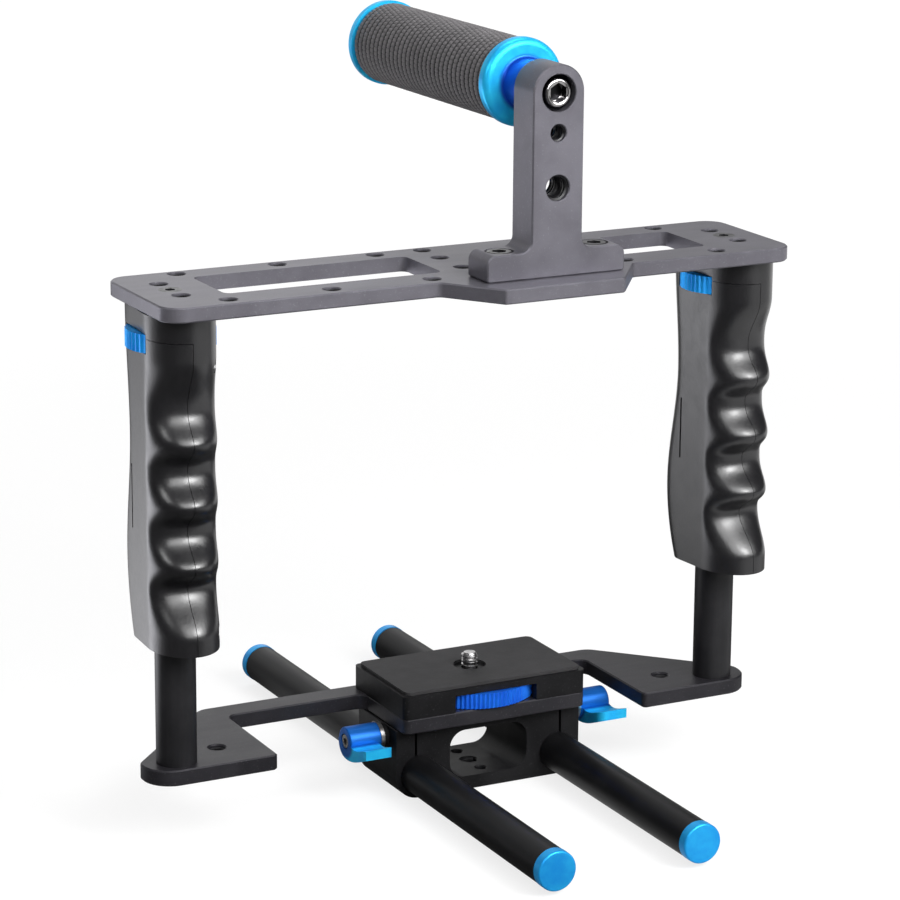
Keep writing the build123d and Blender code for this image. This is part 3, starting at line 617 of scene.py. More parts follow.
# ----------------------------------------------------- places of the threaded holes
EDGE_HOLE_X = -120.9
EDGE_HOLE_PITCH = 39.6
FRONT_HOLE_Y = -48.3
REAR_HOLE_Y = -1.7
END_HOLE_SPACING = 20.4
MIDDLE_HOLE_X = 22.3
MIDDLE_HOLE_Y = (REAR_HOLE_Y, -16.2, -34.4)
LOBE_HOLES = ((-114.1, -17.7), (75.4, -17.7))
POST_HOLES = ((262.1, QUARTER_INCH / 2), (242.3, THREE_EIGHTHS / 2))
BOLT_RECESS_RADIUS = 6.8
SMALL_BLOCK_HOLE_Y = 10.0
SMALL_BLOCK_HOLE_RADIUS = 2.15


def top_plate_hole_places():
    """Rows along both edges, a pair at each end and two columns beside the post."""
    places = []
    for step in (0, 1, 2, 4, 5):
        x = EDGE_HOLE_X + step * EDGE_HOLE_PITCH
        places += [(x, FRONT_HOLE_Y), (x, REAR_HOLE_Y)]
    for tube_x in (LEFT_TUBE_X, RIGHT_TUBE_X):
        places += [(tube_x, TUBE_Y + END_HOLE_SPACING / 2), (tube_x, TUBE_Y - END_HOLE_SPACING / 2)]
    for x in (-MIDDLE_HOLE_X, MIDDLE_HOLE_X):
        places += [(x, y) for y in MIDDLE_HOLE_Y]
    return places


# ------------------------------------------------------------------ dressed plates
TOP_PLATE_MOUTHS = ((TOP_PLATE_TOP, -1), (TOP_PLATE_BOTTOM, 1))
BASE_PLATE_MOUTHS = ((BASE_PLATE_TOP, -1), (BASE_PLATE_BOTTOM, 1))
POST_MOUTHS = ((POST_FRONT, 1), (POST_REAR, -1))
BLOCK_MOUTHS = ((BLOCK_FLOOR, -1), (BLOCK_BOTTOM, 1))


def dress_with_lead_ins(node, cones):
    """A CAD node of the frame with chamfers cut at the mouths of its holes."""
    piece = merged_copy(node)
    carve(piece, join_forms(node + "_cones", cones))
    smooth(piece)
    settle(piece, "frame", [node])


def dress_top_plate():
    cones = []
    for x, y in top_plate_hole_places():
        cones += lead_ins(QUARTER_INCH / 2, TOP_PLATE_MOUTHS, "Z", (x, y, 0), size=0.4)
    dress_with_lead_ins("top_plate", cones)


def dress_base_plate():
    cones = []
    for x, y in LOBE_HOLES:
        cones += lead_ins(QUARTER_INCH / 2, BASE_PLATE_MOUTHS, "Z", (x, y, 0), size=0.55)
    dress_with_lead_ins("base_plate", cones)


def dress_handle_post():
    cones = []
    for z, radius in POST_HOLES:
        cones += lead_ins(radius, POST_MOUTHS, "Y", (0, 0, z), size=0.3)
    cones += lead_ins(BOLT_RECESS_RADIUS, POST_MOUTHS[:1], "Y", (0, 0, HANDLE_Z), size=0.3)
    dress_with_lead_ins("handle_post", cones)


def dress_clamp_block():
    cones = lead_ins(QUARTER_INCH / 2, BLOCK_MOUTHS, "Z", (0, 0, 0), size=0.5)
    for y in (-SMALL_BLOCK_HOLE_Y, SMALL_BLOCK_HOLE_Y):
        cones += lead_ins(SMALL_BLOCK_HOLE_RADIUS, BLOCK_MOUTHS, "Z", (0, y, 0), size=0.4)
    dress_with_lead_ins("clamp_block", cones)


def dress_other_nodes():
    """Every other CAD node that shows: joined up, with smooth round faces."""
    own = {"top_plate", "base_plate", "handle_post", "clamp_block"}
    own |= {"handle_sleeve", "camera_screw", "handle_bolt", "handle_front_flange"}
    for node in cad_nodes:
        if node in own or "grip_shell" in node:
            continue
        piece = merged_copy(node)
        smooth(piece, 28.0)
        settle(piece, BODY_OF_NODE[node], [node])


# ------------------------------------------------------------------- finger grips
GRIP_TOP = 204.2
GRIP_BOTTOM = 81.6
GRIP_HALF_WIDTH = 12.9
NOSE_START = 8.2
FRONT_AT_TOP = 24.0
FRONT_AT_BOTTOM = 25.0
MEAN_REACH = 20.6
GROOVE_WAVE = 3.3
WAVE_GROWTH = 0.4
WAVE_SKEW = 1.36
GROOVE_PITCH = 22.5
GROOVE_COUNT = 4
FIRST_GROOVE = 32.4
FLARE = 0.75  # share of a groove's pitch over which either end of the grip widens
GRIP_LEAN = 0.02
PALM_BACK = 20.0
PALM_HEIGHT = 112.0
WAIST_BACK = 14.7
WAIST_HEIGHT = 157.0
TOP_BACK = 18.2
BOTTOM_BACK = 14.0
BACK_RADIUS = 7.5
GRIP_ROWS = 340
NOSE_STEPS = 30
SIDE_STEPS = 9
CORNER_STEPS = 14
BACK_STEPS = 4
SEAM_STEP = 195.6
SEAM_GAP = 0.1
BORE_RADIUS = 7.8
BUSH_SEAT_RADIUS = 9.5
BUSH_SEAT_DEPTH = 7.0
COLLAR_SEAT_RADIUS = 10.0
COLLAR_SEAT_DEPTH = 9.0
WHEEL_BOTTOM = 190.2
WHEEL_TOP = 196.8
WHEEL_RADIUS = 16.2
SIDE_GAP = 0.3
SHELL_SCREW_INSET = 5.0
SHELL_SCREW_Y = (15.0, -15.5, 11.5, -15.5)
SHELL_SCREW_SEAT = 6.5
SHELL_SCREW_RECESS = 2.8
SLIT_Y = (6.6, 7.5)
SLIT_Z = (122.4, 146.4)
SLIT_DEPTH = 1.0
LEFT_GRIP_TURN = -3.5
RIGHT_GRIP_TURN = 5.0


def blend(low, high, value):
    """0 at low, 1 at high, smooth between."""
    share = min(max((value - low) / (high - low), 0.0), 1.0)
    return share * share * (3 - 2 * share)


def front_reach(z):
    """Depth of the grip in front of its tube at one height."""
    count = (GRIP_TOP - FIRST_GROOVE - z) / GROOVE_PITCH
    last = GROOVE_COUNT - 1
    inside = min(max(count, 0.0), last)
    share = (inside % 1.0) ** WAVE_SKEW
    mean = MEAN_REACH - GRIP_LEAN * GROOVE_PITCH * inside
    wave = GROOVE_WAVE + WAVE_GROWTH * inside
    reach = mean - wave * math.cos(2 * math.pi * share)
    flare = blend(0.0, FLARE, max(-count, count - last))
    end = FRONT_AT_TOP if count < 0 else FRONT_AT_BOTTOM
    return reach + (end - reach) * flare


def back_reach(z):
    """Depth of the grip behind its tube at one height."""
    if z > WAIST_HEIGHT:
        share = blend(WAIST_HEIGHT, GRIP_TOP, z)
        return WAIST_BACK + (TOP_BACK - WAIST_BACK) * share
    if z > PALM_HEIGHT:
        share = blend(PALM_HEIGHT, WAIST_HEIGHT, z)
        return PALM_BACK + (WAIST_BACK - PALM_BACK) * share
    share = ((PALM_HEIGHT - z) / (PALM_HEIGHT - GRIP_BOTTOM)) ** 2
    return PALM_BACK + (BOTTOM_BACK - PALM_BACK) * share


def grip_outline(z):
    """Outline of the whole grip at one height, from the nose round by the +X side."""
    front, back = front_reach(z), back_reach(z)
    half = []
    for step in range(NOSE_STEPS + 1):
        angle = math.pi / 2 * step / NOSE_STEPS
        deep = (front - NOSE_START) * math.cos(angle)
        half.append((GRIP_HALF_WIDTH * math.sin(angle), -NOSE_START - deep))
    for step in range(1, SIDE_STEPS):
        share = step / SIDE_STEPS
        start, end = -NOSE_START, back - BACK_RADIUS
        half.append((GRIP_HALF_WIDTH, start + (end - start) * share))
    for step in range(CORNER_STEPS + 1):
        angle = math.pi / 2 * step / CORNER_STEPS
        x = GRIP_HALF_WIDTH - BACK_RADIUS + BACK_RADIUS * math.cos(angle)
        half.append((x, back - BACK_RADIUS + BACK_RADIUS * math.sin(angle)))
    for step in range(1, BACK_STEPS + 1):
        half.append(((GRIP_HALF_WIDTH - BACK_RADIUS) * (1 - step / BACK_STEPS), back))
    other = [(-x, y) for x, y in half[-2:0:-1]]
    return half + other


def grip_form(rows):
    """Closed outer form of a grip from a list of heights."""
    points, faces = [], []
    for z in rows:
        points += [(x, y, z) for x, y in grip_outline(z)]
    around = len(points) // len(rows)
    for row in range(len(rows) - 1):
        for step in range(around):
            after = (step + 1) % around
            low, high = row * around, (row + 1) * around
            faces.append((low + step, low + after, high + after, high + step))
    faces.append(tuple(range(around))[::-1])
    faces.append(tuple((len(rows) - 1) * around + step for step in range(around)))
    return points, faces


def box_form(low, high):
    """Closed box between two opposite corners."""
    xs, ys, zs = zip(low, high)
    points = [(x, y, z) for z in zs for y in ys for x in xs]
    faces = [(0, 2, 3, 1), (4, 5, 7, 6), (0, 1, 5, 4), (2, 6, 7, 3), (0, 4, 6, 2), (1, 3, 7, 5)]
    return points, faces


def tube_way():
    """The space round the tube: bush seats, bore, collar seat and wheel chamber."""
    near, past = 0.05, 1.0
    chamber = WHEEL_RADIUS + SIDE_GAP
    floor, roof = WHEEL_BOTTOM - SIDE_GAP, WHEEL_TOP + SIDE_GAP
    outline = [
        (near, GRIP_BOTTOM - past),
        (BUSH_SEAT_RADIUS, GRIP_BOTTOM - past),
        (BUSH_SEAT_RADIUS, GRIP_BOTTOM + BUSH_SEAT_DEPTH),
        (BORE_RADIUS, GRIP_BOTTOM + BUSH_SEAT_DEPTH),
        (BORE_RADIUS, floor - COLLAR_SEAT_DEPTH),
        (COLLAR_SEAT_RADIUS, floor - COLLAR_SEAT_DEPTH),
        (COLLAR_SEAT_RADIUS, floor),
        (chamber, floor),
        (chamber, roof),
        (BUSH_SEAT_RADIUS, roof),
        (BUSH_SEAT_RADIUS, GRIP_TOP + past),
        (near, GRIP_TOP + past),
    ]
    return lathe(outline, (0, 0, 0), "Z", 128)


def shell_screw_places():
    high = WHEEL_BOTTOM - SHELL_SCREW_INSET
    low = GRIP_BOTTOM + SHELL_SCREW_INSET
    return zip(SHELL_SCREW_Y, (high, high, low, low))


def make_grip(side, tube_x, turn):
    """Both moulded shells of one grip, with the seam and its step at the top."""
    height = GRIP_TOP - GRIP_BOTTOM
    rows = [GRIP_BOTTOM + height * step / GRIP_ROWS for step in range(GRIP_ROWS + 1)]
    far, above, past_shell = 40.0, 260.0, 20.0
    place = Matrix.Translation(Vector((tube_x, TUBE_Y, 0)) * MM)
    place = place @ Matrix.Rotation(math.radians(turn), 4, "Z")

    right_name = side + "_grip_cover_right"
    right = new_object(right_name, join_forms("cover", [grip_form(rows)]), grip_finish)
    half_space = box_form((-far, -far, 0), (SEAM_GAP, far, SEAM_STEP))
    carve(right, join_forms("seam", [half_space]))
    openings = [tube_way()]
    recess = [
        (NEAR_AXIS, SHELL_SCREW_SEAT),
        (SHELL_SCREW_RECESS, SHELL_SCREW_SEAT),
        (SHELL_SCREW_RECESS, past_shell),
        (NEAR_AXIS, past_shell),
    ]
    for y, z in shell_screw_places():
        openings.append(lathe(recess, (0, y, z), "X", 32))
    carve(right, join_forms("openings", openings))

    left_name = side + "_grip_cover_left"
    left = new_object(left_name, join_forms("cover", [grip_form(rows)]), grip_finish)
    beyond = box_form((-SEAM_GAP, -far, 0), (far, far, above))
    carve(left, join_forms("seam", [beyond]))
    top_step = box_form((-far, -far, SEAM_STEP - 2 * SEAM_GAP), (far, far, above))
    carve(left, join_forms("step", [top_step]))
    slit_start = (-far, SLIT_Y[0], SLIT_Z[0])
    slit = box_form(slit_start, (SLIT_DEPTH - GRIP_HALF_WIDTH, SLIT_Y[1], SLIT_Z[1]))
    carve(left, join_forms("openings", [tube_way(), slit]))

    for cover, part in ((left, "left"), (right, "right")):
        cover.data.transform(place)
        smooth(cover, 40.0)
        settle(cover, side + "_grip", [side + "_grip_shell_" + part])


# ------------------------------------------------------------ handle bolt, flange
def hexagon_form(radius, start, end, centre):
    """Closed six-sided prism along Y."""
    points = []
    for y in (start, end):
        for step in range(6):
            angle = math.pi / 3 * step + math.pi / 6
            points.append((radius * math.cos(angle), y, radius * math.sin(angle)))
    points = [tuple(a + b for a, b in zip(point, centre)) for point in points]
    faces = [tuple(range(6))[::-1], tuple(range(6, 12))]
    faces += [(step, (step + 1) % 6, (step + 1) % 6 + 6, step + 6) for step in range(6)]
    return points, faces


def quarter_turn(steps):
    """Sine and fall (1 - cosine) of even steps over a quarter turn."""
    angles = [math.pi / 2 * step / steps for step in range(steps + 1)]
    return [(math.sin(angle), 1 - math.cos(angle)) for angle in angles]


def make_handle_bolt():
    """Socket head with a rounded bright ring, on its shank."""
    setback, head_height, shank_length = 0.4, 8.0, 62.0
    head_radius, shank_radius, across_flats, socket_depth = 6.4, 3.9, 6.4, 4.0
    dish_radius, dish_depth = 3.6, 0.25
    crown_start, crown_width, crown_height = 4.1, 1.1, 0.9
    corner_width, corner_depth = 1.2, 1.6
    front = POST_FRONT + setback
    seat, tip = front + head_height, front + head_height + shank_length
    profile = [(NEAR_AXIS, front + dish_depth), (dish_radius, front + dish_depth)]
    for rise, fall in quarter_turn(8):
        profile.append((crown_start + crown_width * rise, front + crown_height * fall))
    shoulder = crown_start + crown_width
    for rise, fall in quarter_turn(6)[1:]:
        place = front + crown_height + corner_depth * rise
        profile.append((shoulder + corner_width * fall, place))
    profile += [(head_radius, seat), (shank_radius, seat), (shank_radius, tip), (NEAR_AXIS, tip)]
    axis = (0, 0, HANDLE_Z)
    form = join_forms("bolt", [lathe(profile, axis, "Y", 96)])
    bolt = new_object("handle_bolt_dressed", form, bolt_finish)
    socket = hexagon_form(across_flats / math.sqrt(3), front - 1.0, front + socket_depth, axis)
    carve(bolt, join_forms("socket", [socket]))
    smooth(bolt, 30.0)
    settle(bolt, "frame", ["handle_bolt"])


def make_front_flange():
    """Flange with its neck: a shallow dished face and a rounded rim."""
    bore, rim, root, edge, chamfer = 4.1, 16.3, 1.2, 2.8, 0.3
    neck_length, sink = 10.3, 0.25
    face = POST_REAR + neck_length
    bottom = face + sink - root
    profile = [(bore, POST_REAR), (NECK_RADIUS - chamfer, POST_REAR)]
    profile.append((NECK_RADIUS, POST_REAR + chamfer))
    profile += [(NECK_RADIUS + root * fall, bottom + root * rise) for rise, fall in quarter_turn(6)]
    profile += [(rim - edge + edge * rise, face + edge * fall) for rise, fall in quarter_turn(10)]
    profile += [(rim, SLEEVE_FRONT), (bore, SLEEVE_FRONT)]
    form = join_forms("flange", [lathe(profile, (0, 0, HANDLE_Z), "Y", 160)])
    flange = new_object("front_flange_dressed", form, front_flange_finish)
    smooth(flange, 30.0)
    settle(flange, "frame", ["handle_front_flange"])


# --------------------------------------------------------------- handle sleeve
RIB_PITCH = 3.4
RIB_DEPTH = 0.85
CUT_DEPTH = 0.42
SLEEVE_BORE = 10.0
LUGS = 54
# places along one rib, each with the groove's depth there as a share of RIB_DEPTH
RIB_PROFILE = (
    (0.0, 1.0),
    (0.12, 0.45),
    (0.24, 0.1),
    (0.38, 0.0),
    (0.54, 0.0),
    (0.68, 0.1),
    (0.8, 0.45),
    (0.92, 1.0),
)
# places round one lug, each with the cut's depth there as a share of CUT_DEPTH
LUG_PROFILE = ((0.0, 1.0), (0.22, 0.0), (0.5, 0.0), (0.78, 0.0))


def sleeve_points(stations, pitch):
    """Rings of the lugged outside, then a ring of the bore at each end."""
    points = []
    for rib, share, low in stations:
        y = SLEEVE_FRONT + (rib + share) * pitch
        for step in range(LUGS):
            for part, cut in LUG_PROFILE:
                angle = 2 * math.pi * (step + part + 0.5 * (rib % 2)) / LUGS
                reach = SLEEVE_RADIUS - max(RIB_DEPTH * low, CUT_DEPTH * cut)
                points.append((reach * math.sin(angle), y, HANDLE_Z + reach * math.cos(angle)))
    around = LUGS * len(LUG_PROFILE)
    for y in (SLEEVE_FRONT, SLEEVE_REAR):
        for step in range(around):
            angle = 2 * math.pi * step / around
            x, z = SLEEVE_BORE * math.sin(angle), SLEEVE_BORE * math.cos(angle)
            points.append((x, y, HANDLE_Z + z))
    return points


def make_sleeve():
    """Rubber sleeve: ring ribs cut across into rows of small lugs."""
    length = SLEEVE_REAR - SLEEVE_FRONT
    ribs = round(length / RIB_PITCH)
    stations = [(rib, share, low) for rib in range(ribs) for share, low in RIB_PROFILE]
    stations.append((ribs, 0.0, 1.0))
    points = sleeve_points(stations, length / ribs)
    around = LUGS * len(LUG_PROFILE)
    faces = []
    for row in range(len(stations) - 1):
        for step in range(around):
            after = (step + 1) % around
            low, high = row * around, (row + 1) * around
            faces.append((low + step, low + after, high + after, high + step))
    last = (len(stations) - 1) * around
    bore_front, bore_rear = last + around, last + 2 * around
    for step in range(around):
        after = (step + 1) % around
        faces.append((step, bore_front + step, bore_front + after, after))
        faces.append((last + step, last + after, bore_rear + after, bore_rear + step))
        faces.append(
            (bore_front + step, bore_rear + step, bore_rear + after, bore_front + after)
        )
    sleeve = new_object("ribbed_sleeve", mesh_from("ribbed_sleeve", points, faces), sleeve_finish)
    smooth(sleeve, 50.0)
    settle(sleeve, "frame", ["handle_sleeve"])


# ---------------------------------------------------------------- screw threads
class Nodes:
    """A Geometry Nodes tree with named inputs."""

    def __init__(self, name, inputs):
        self.tree = bpy.data.node_groups.new(name, "GeometryNodeTree")
        self.sockets = {}
        sockets = self.tree.interface
        sockets.new_socket("Geometry", in_out="OUTPUT", socket_type="NodeSocketGeometry")
        sockets.new_socket("Geometry", in_out="INPUT", socket_type="NodeSocketGeometry")
        for label, kind in inputs.items():
            made = sockets.new_socket(label, in_out="INPUT", socket_type="NodeSocket" + kind)
            self.sockets[label] = made.identifier
        self.inputs = self.tree.nodes.new("NodeGroupInput").outputs

    def add(self, kind, settings, inputs):
        """Add a node, with a value or a link for each socket, and give its output."""
        node = self.tree.nodes.new(kind)
        for name, value in settings.items():
            setattr(node, name, value)
        for key, value in inputs.items():
            if isinstance(value, bpy.types.NodeSocket):
                self.tree.links.new(value, node.inputs[key])
            else:
                node.inputs[key].default_value = value
        return node.outputs[0]

    def close(self, geometry):
        end = self.tree.nodes.new("NodeGroupOutput")
        self.tree.links.new(geometry, end.inputs[0])


def thread_tree():
    """A helical ridge that starts at every point and winds along one direction."""
    kinds = {
        "Radius": "Float",
        "Pitch": "Float",
        "Turns": "Float",
        "Ridge": "Float",
        "Direction": "Rotation",
        "Finish": "Material",
    }
    nodes = Nodes("thread_coils", kinds)
    height = nodes.add(
        "ShaderNodeMath",
        {"operation": "MULTIPLY"},
        {0: nodes.inputs["Pitch"], 1: nodes.inputs["Turns"]},
    )
    helix = nodes.add(
        "GeometryNodeCurveSpiral",
        {},
        {
            "Resolution": 22,
            "Rotations": nodes.inputs["Turns"],
            "Start Radius": nodes.inputs["Radius"],
            "End Radius": nodes.inputs["Radius"],
            "Height": height,
        },
    )
    profile = nodes.add(
        "GeometryNodeCurvePrimitiveCircle",
        {"mode": "RADIUS"},
        {"Resolution": 4, "Radius": nodes.inputs["Ridge"]},
    )
    swept = nodes.add(
        "GeometryNodeCurveToMesh",
        {},
        {"Curve": helix, "Profile Curve": profile, "Fill Caps": True},
    )
    placed = nodes.add(
        "GeometryNodeInstanceOnPoints",
        {},
        {
            "Points": nodes.inputs["Geometry"],
            "Instance": swept,
            "Rotation": nodes.inputs["Direction"],
        },
    )
    real = nodes.add("GeometryNodeRealizeInstances", {}, {"Geometry": placed})
    finished = nodes.add(
        "GeometryNodeSetMaterial", {}, {"Geometry": real, "Material": nodes.inputs["Finish"]}
    )
    nodes.close(finished)
    return nodes


threads = thread_tree()


def coil_mesh(name, places, radius, pitch, length, ridge, turned, finish):
    """Plain mesh of the thread ridges that start at the given places, in millimetres."""
    mesh = bpy.data.meshes.new(name)
    mesh.from_pydata([Vector(place) * MM for place in places], [], [])
    thing = new_object(name, mesh, finish)
    way = thing.modifiers.new("threads", "NODES")
    way.node_group = threads.tree
    values = {
        "Radius": radius * MM,
        "Pitch": pitch * MM,
        "Turns": length / pitch,
        "Ridge": ridge * MM,
        "Direction": turned,
        "Finish": finish,
    }
    for label, value in values.items():
        way[threads.sockets[label]] = value
    bake_modifiers(thing)
    form = bmesh.new()
    form.from_mesh(thing.data)
    bmesh.ops.recalc_face_normals(form, faces=form.faces)
    form.to_mesh(thing.data)
    form.free()
    smooth(thing, 40.0)
    return thing


UPRIGHT = (0.0, 0.0, 0.0)
LYING = (-math.pi / 2, 0.0, 0.0)
THREAD_CLEARANCE = 0.02
RIDGE_SHARE = 0.4  # half the width of a ridge, as a share of its pitch
# how far inside its hole each thread starts, and how long it is
PLATE_THREAD_INSET, PLATE_THREAD_LENGTH = 0.7, 4.1
LOBE_THREAD_INSET, LOBE_THREAD_LENGTH = 0.8, 4.4
TRIPOD_THREAD_INSET, TRIPOD_THREAD_LENGTH = 0.8, 3.7
POST_THREAD_INSET, POST_THREAD_LENGTH = 1.0, 13.2


def cut_threads():
    """Threads in the accessory holes of the frame."""
    fine, coarse = QUARTER_INCH_PITCH, THREE_EIGHTHS_PITCH
    small = QUARTER_INCH / 2 - THREAD_CLEARANCE
    large = THREE_EIGHTHS / 2 - THREAD_CLEARANCE
    plate_start = TOP_PLATE_BOTTOM + PLATE_THREAD_INSET
    plate = [(x, y, plate_start) for x, y in top_plate_hole_places()]
    lobes = [(x, y, BASE_PLATE_BOTTOM + LOBE_THREAD_INSET) for x, y in LOBE_HOLES]
    tripod = [(0, 0, BLOCK_BOTTOM + TRIPOD_THREAD_INSET)]
    small_post, large_post = ([(0, POST_FRONT + POST_THREAD_INSET, z)] for z, _ in POST_HOLES)
    plate_length, post_length = PLATE_THREAD_LENGTH, POST_THREAD_LENGTH
    groups = (
        ("top_plate_threads", plate, small, fine, plate_length, UPRIGHT, "plate"),
        ("lobe_threads", lobes, small, fine, LOBE_THREAD_LENGTH, UPRIGHT, "plate"),
        ("tripod_thread", tripod, small, fine, TRIPOD_THREAD_LENGTH, UPRIGHT, "block"),
        ("small_post_thread", small_post, small, fine, post_length, LYING, "plate"),
        ("large_post_thread", large_post, large, coarse, post_length, LYING, "plate"),
    )
    for name, places, radius, pitch, length, turned, slot in groups:
        ridge = pitch * RIDGE_SHARE
        coil = coil_mesh(name, places, radius, pitch, length, ridge, turned, thread_shade_finish)
        settle(coil, "frame")


def make_camera_screw():
    """Camera screw with its thread: pilot, shank, threaded core and rounded tip."""
    bottom, shoulder, thread_start, thread_end, tip = 30.0, 40.4, 43.5, 48.7, 49.4
    pole, chamfer = 0.01, 0.4
    shank_radius, neck_radius, core_radius, tip_radius = 4.0, 2.6, 2.72, 2.2
    profile = [
        (pole, bottom),
        (shank_radius - chamfer, bottom),
        (shank_radius, bottom + chamfer),
        (shank_radius, shoulder),
        (neck_radius, shoulder),
        (neck_radius, thread_start),
        (core_radius, thread_start),
        (core_radius, thread_end),
        (tip_radius, tip),
        (pole, tip),
    ]
    core = join_forms("camera_screw_core", [lathe(profile, (0, 0, 0), "Z", 64)])
    screw = new_object("threaded_camera_screw", core, steel_finish)
    smooth(screw, 35.0)
    settle(screw, "camera_screw", ["camera_screw"])
    ridge, length = 0.42, 4.6
    radius, pitch = QUARTER_INCH / 2 - ridge, QUARTER_INCH_PITCH
    start = [(0, 0, thread_start + ridge)]
    name = "camera_screw_ridge"
    coil = coil_mesh(name, start, radius, pitch, length, ridge, UPRIGHT, steel_finish)
    settle(coil, "camera_screw")


cut_threads()
make_camera_screw()
make_sleeve()
make_handle_bolt()
make_front_flange()
make_grip("left", LEFT_TUBE_X, LEFT_GRIP_TURN)
make_grip("right", RIGHT_TUBE_X, RIGHT_GRIP_TURN)
dress_top_plate()
dress_base_plate()
dress_handle_post()
dress_clamp_block()
dress_other_nodes()


# ---------------------------------------------------------------- floor and light
DARK = rgb(0.08, 0.08, 0.08)
LEFT_FRONT = (-0.89, -0.45, 0)
BACKWARDS = (0, 1, 0)
SIDEWAYS = (0.889, 0.458, 0)


def mirrored_floor(finish, here, mirror):
    """Glow of the floor: white to the eye. Mirrored, it is dark on the left in front and
    behind the right grip, half dark in front and bright behind the left grip."""
    way = finish.add("ShaderNodeVectorMath", {"operation": "NORMALIZE"}, [here])
    leftwards = finish.along(way, LEFT_FRONT)
    behind = finish.along(here, BACKWARDS)
    across = finish.along(here, SIDEWAYS)
    rear = behind.smooth(0.06, 0.16)
    strip = across.smooth(-0.46, -0.32) * (1.0 - across.smooth(-0.14, -0.08)) * rear
    right_grip = (
        across.smooth(-0.01, 0.03) * (1.0 - across.smooth(0.3, 0.5)) * behind.smooth(-0.06, 0.04)
    )
    dim = mirror * right_grip.larger(leftwards.smooth(0.1, 0.6))
    front = mirror * (1.0 - rear) * 0.4
    lit = finish.mix(front, rgb(1.04, 1.04, 1.04), DARK)
    dimmed = finish.mix(dim, lit, DARK)
    return finish.mix(mirror * strip, dimmed, rgb(3.5, 3.5, 3.7))


def make_floor():
    """Pale floor that keeps the object's shadow near it and is white farther out."""
    reach, thickness, gap = 4000.0, 20.0, 0.3
    finish = Finish("pale_floor")
    here = finish.place()
    away = finish.length(here).smooth(0.25, 1.2)
    haze = finish.noise(here, 3.0, 2.0, 0.5)
    eye = finish.ray("Is Camera Ray")
    mirror = finish.ray("Is Glossy Ray")
    pale = finish.mix(haze * 0.5, rgb(0.93, 0.93, 0.93), rgb(0.97, 0.97, 0.97))
    paint = finish.mix(eye, rgb(0.6, 0.6, 0.6), pale)
    matt = finish.add("ShaderNodeBsdfDiffuse", {}, {"Color": paint})
    glow = mirrored_floor(finish, here, mirror)
    bright = finish.add("ShaderNodeEmission", {}, {"Color": glow, "Strength": 1.0})
    share = mirror.larger(eye * (away * 0.24 + 0.76))
    both = finish.add("ShaderNodeMixShader", {}, [share, matt, bright])
    finish.add("ShaderNodeOutputMaterial", {}, [both])
    points, faces = box_form((-reach, -reach, -thickness), (reach, reach, -gap))
    floor = new_object("floor", mesh_from("floor", points, faces), finish.owner)


def make_world():
    """White seen directly, half of it in reflections from behind, and dim elsewhere."""
    world = bpy.data.worlds.new("studio")
    bpy.context.scene.world = world
    finish = Finish("studio", world)
    ray = finish.add("ShaderNodeTexCoord", {}, {}, "Generated")
    behind = finish.along(ray, (0.1, 0.98, 0.1)).smooth(0.68, 0.86)
    eye = finish.ray("Is Camera Ray")
    mirror = finish.ray("Is Glossy Ray")
    seen = eye.larger(finish.ray("Is Transmission Ray"))
    level = 0.1 * (1.0 - seen) + seen
    reflected = mirror * (behind * 0.52 + 0.06)
    strength = reflected.larger(level * (1.0 - mirror))
    back = finish.add("ShaderNodeBackground", {}, {"Color": rgb(1, 1, 1), "Strength": strength})
    finish.add("ShaderNodeOutputWorld", {}, [back])


CAGE_MIDDLE = (-0.02, -0.02, 0.14)


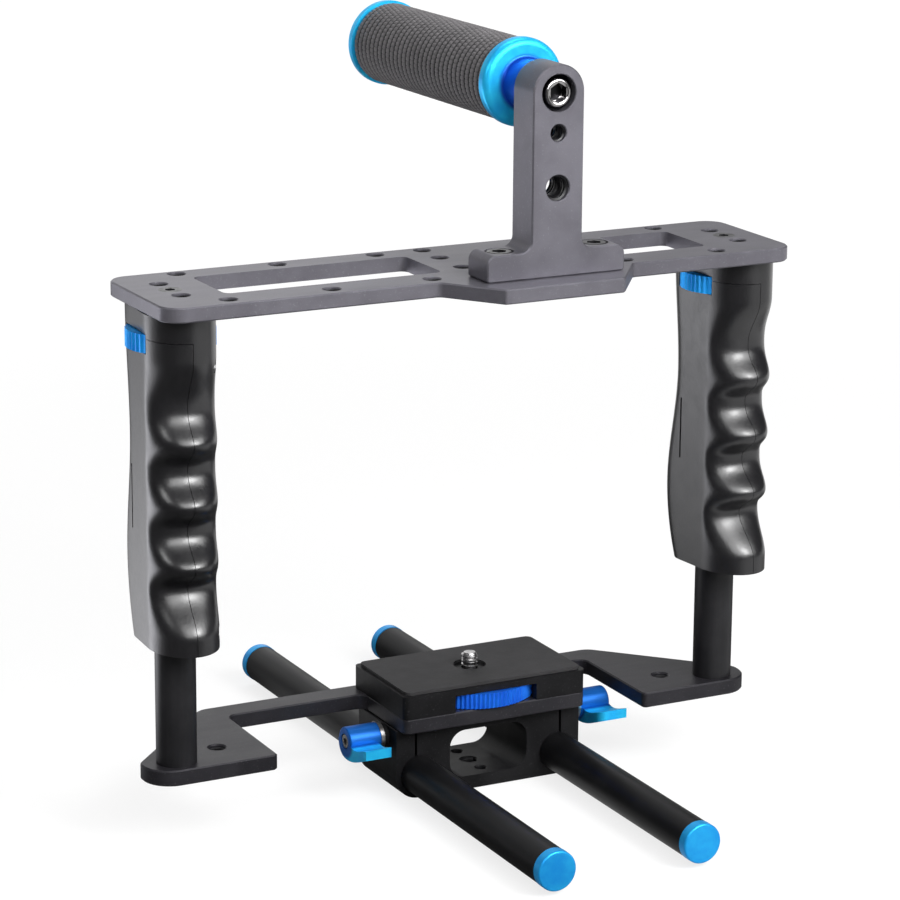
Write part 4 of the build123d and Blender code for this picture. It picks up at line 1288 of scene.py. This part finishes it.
def make_lamp(name, direction, distance, width, height, watts):
    """Softbox that faces the middle of the cage."""
    lamp = bpy.data.lights.new(name, "AREA")
    lamp.shape = "RECTANGLE"
    lamp.size = width
    lamp.size_y = height
    lamp.energy = watts
    thing = bpy.data.objects.new(name, lamp)
    bpy.context.collection.objects.link(thing)
    away = Vector(direction).normalized()
    thing.location = Vector(CAGE_MIDDLE) + away * distance
    thing.rotation_euler = away.to_track_quat("Z", "Y").to_euler()
    thing.visible_camera = False


# camera: place in metres, angles in degrees, focal length and frame width in pixels
CAMERA_PLACE = (-0.58156, -1.11179, 0.46631)
CAMERA_AZIMUTH = -27.24
CAMERA_RISE = 15.0
CAMERA_ROLL = 0.43
CAMERA_FOCAL = 3410.08
FRAME_WIDTH = 900.0
SENSOR_WIDTH = 36.0


def make_camera():
    angles = (CAMERA_AZIMUTH, CAMERA_RISE, CAMERA_ROLL)
    azimuth, rise, roll = (math.radians(angle) for angle in angles)
    back = Vector(
        (math.sin(azimuth) * math.cos(rise), -math.cos(azimuth) * math.cos(rise), math.sin(rise))
    )
    level = Vector((math.cos(azimuth), math.sin(azimuth), 0))
    up = back.cross(level)
    right = level * math.cos(roll) + up * math.sin(roll)
    over = up * math.cos(roll) - level * math.sin(roll)
    view = bpy.data.cameras.new("camera")
    view.sensor_width = SENSOR_WIDTH
    view.lens = CAMERA_FOCAL * SENSOR_WIDTH / FRAME_WIDTH
    view.clip_start = 0.05
    view.clip_end = 50.0
    camera = bpy.data.objects.new("camera", view)
    bpy.context.collection.objects.link(camera)
    turn = Matrix((right, over, back)).transposed().to_4x4()
    camera.matrix_world = Matrix.Translation(CAMERA_PLACE) @ turn
    bpy.context.scene.camera = camera


make_floor()
make_world()
make_lamp("key_softbox", (0.13, -0.8, 0.6), distance=1.2, width=1.9, height=0.8, watts=22.0)
make_lamp("small_softbox", (0.25, -0.8, 0.54), distance=1.15, width=0.42, height=0.36, watts=7.0)
make_lamp("left_box", (-0.82, -0.12, 0.55), distance=1.2, width=0.3, height=0.3, watts=2.0)
make_lamp("top_softbox", (0.1, 0.25, 1.0), distance=1.3, width=0.9, height=0.7, watts=5.0)
make_lamp("back_softbox", (0.1, 0.97, 0.2), distance=1.4, width=1.2, height=0.7, watts=2.2)
make_camera()

bpy.context.scene.view_settings.view_transform = "Standard"
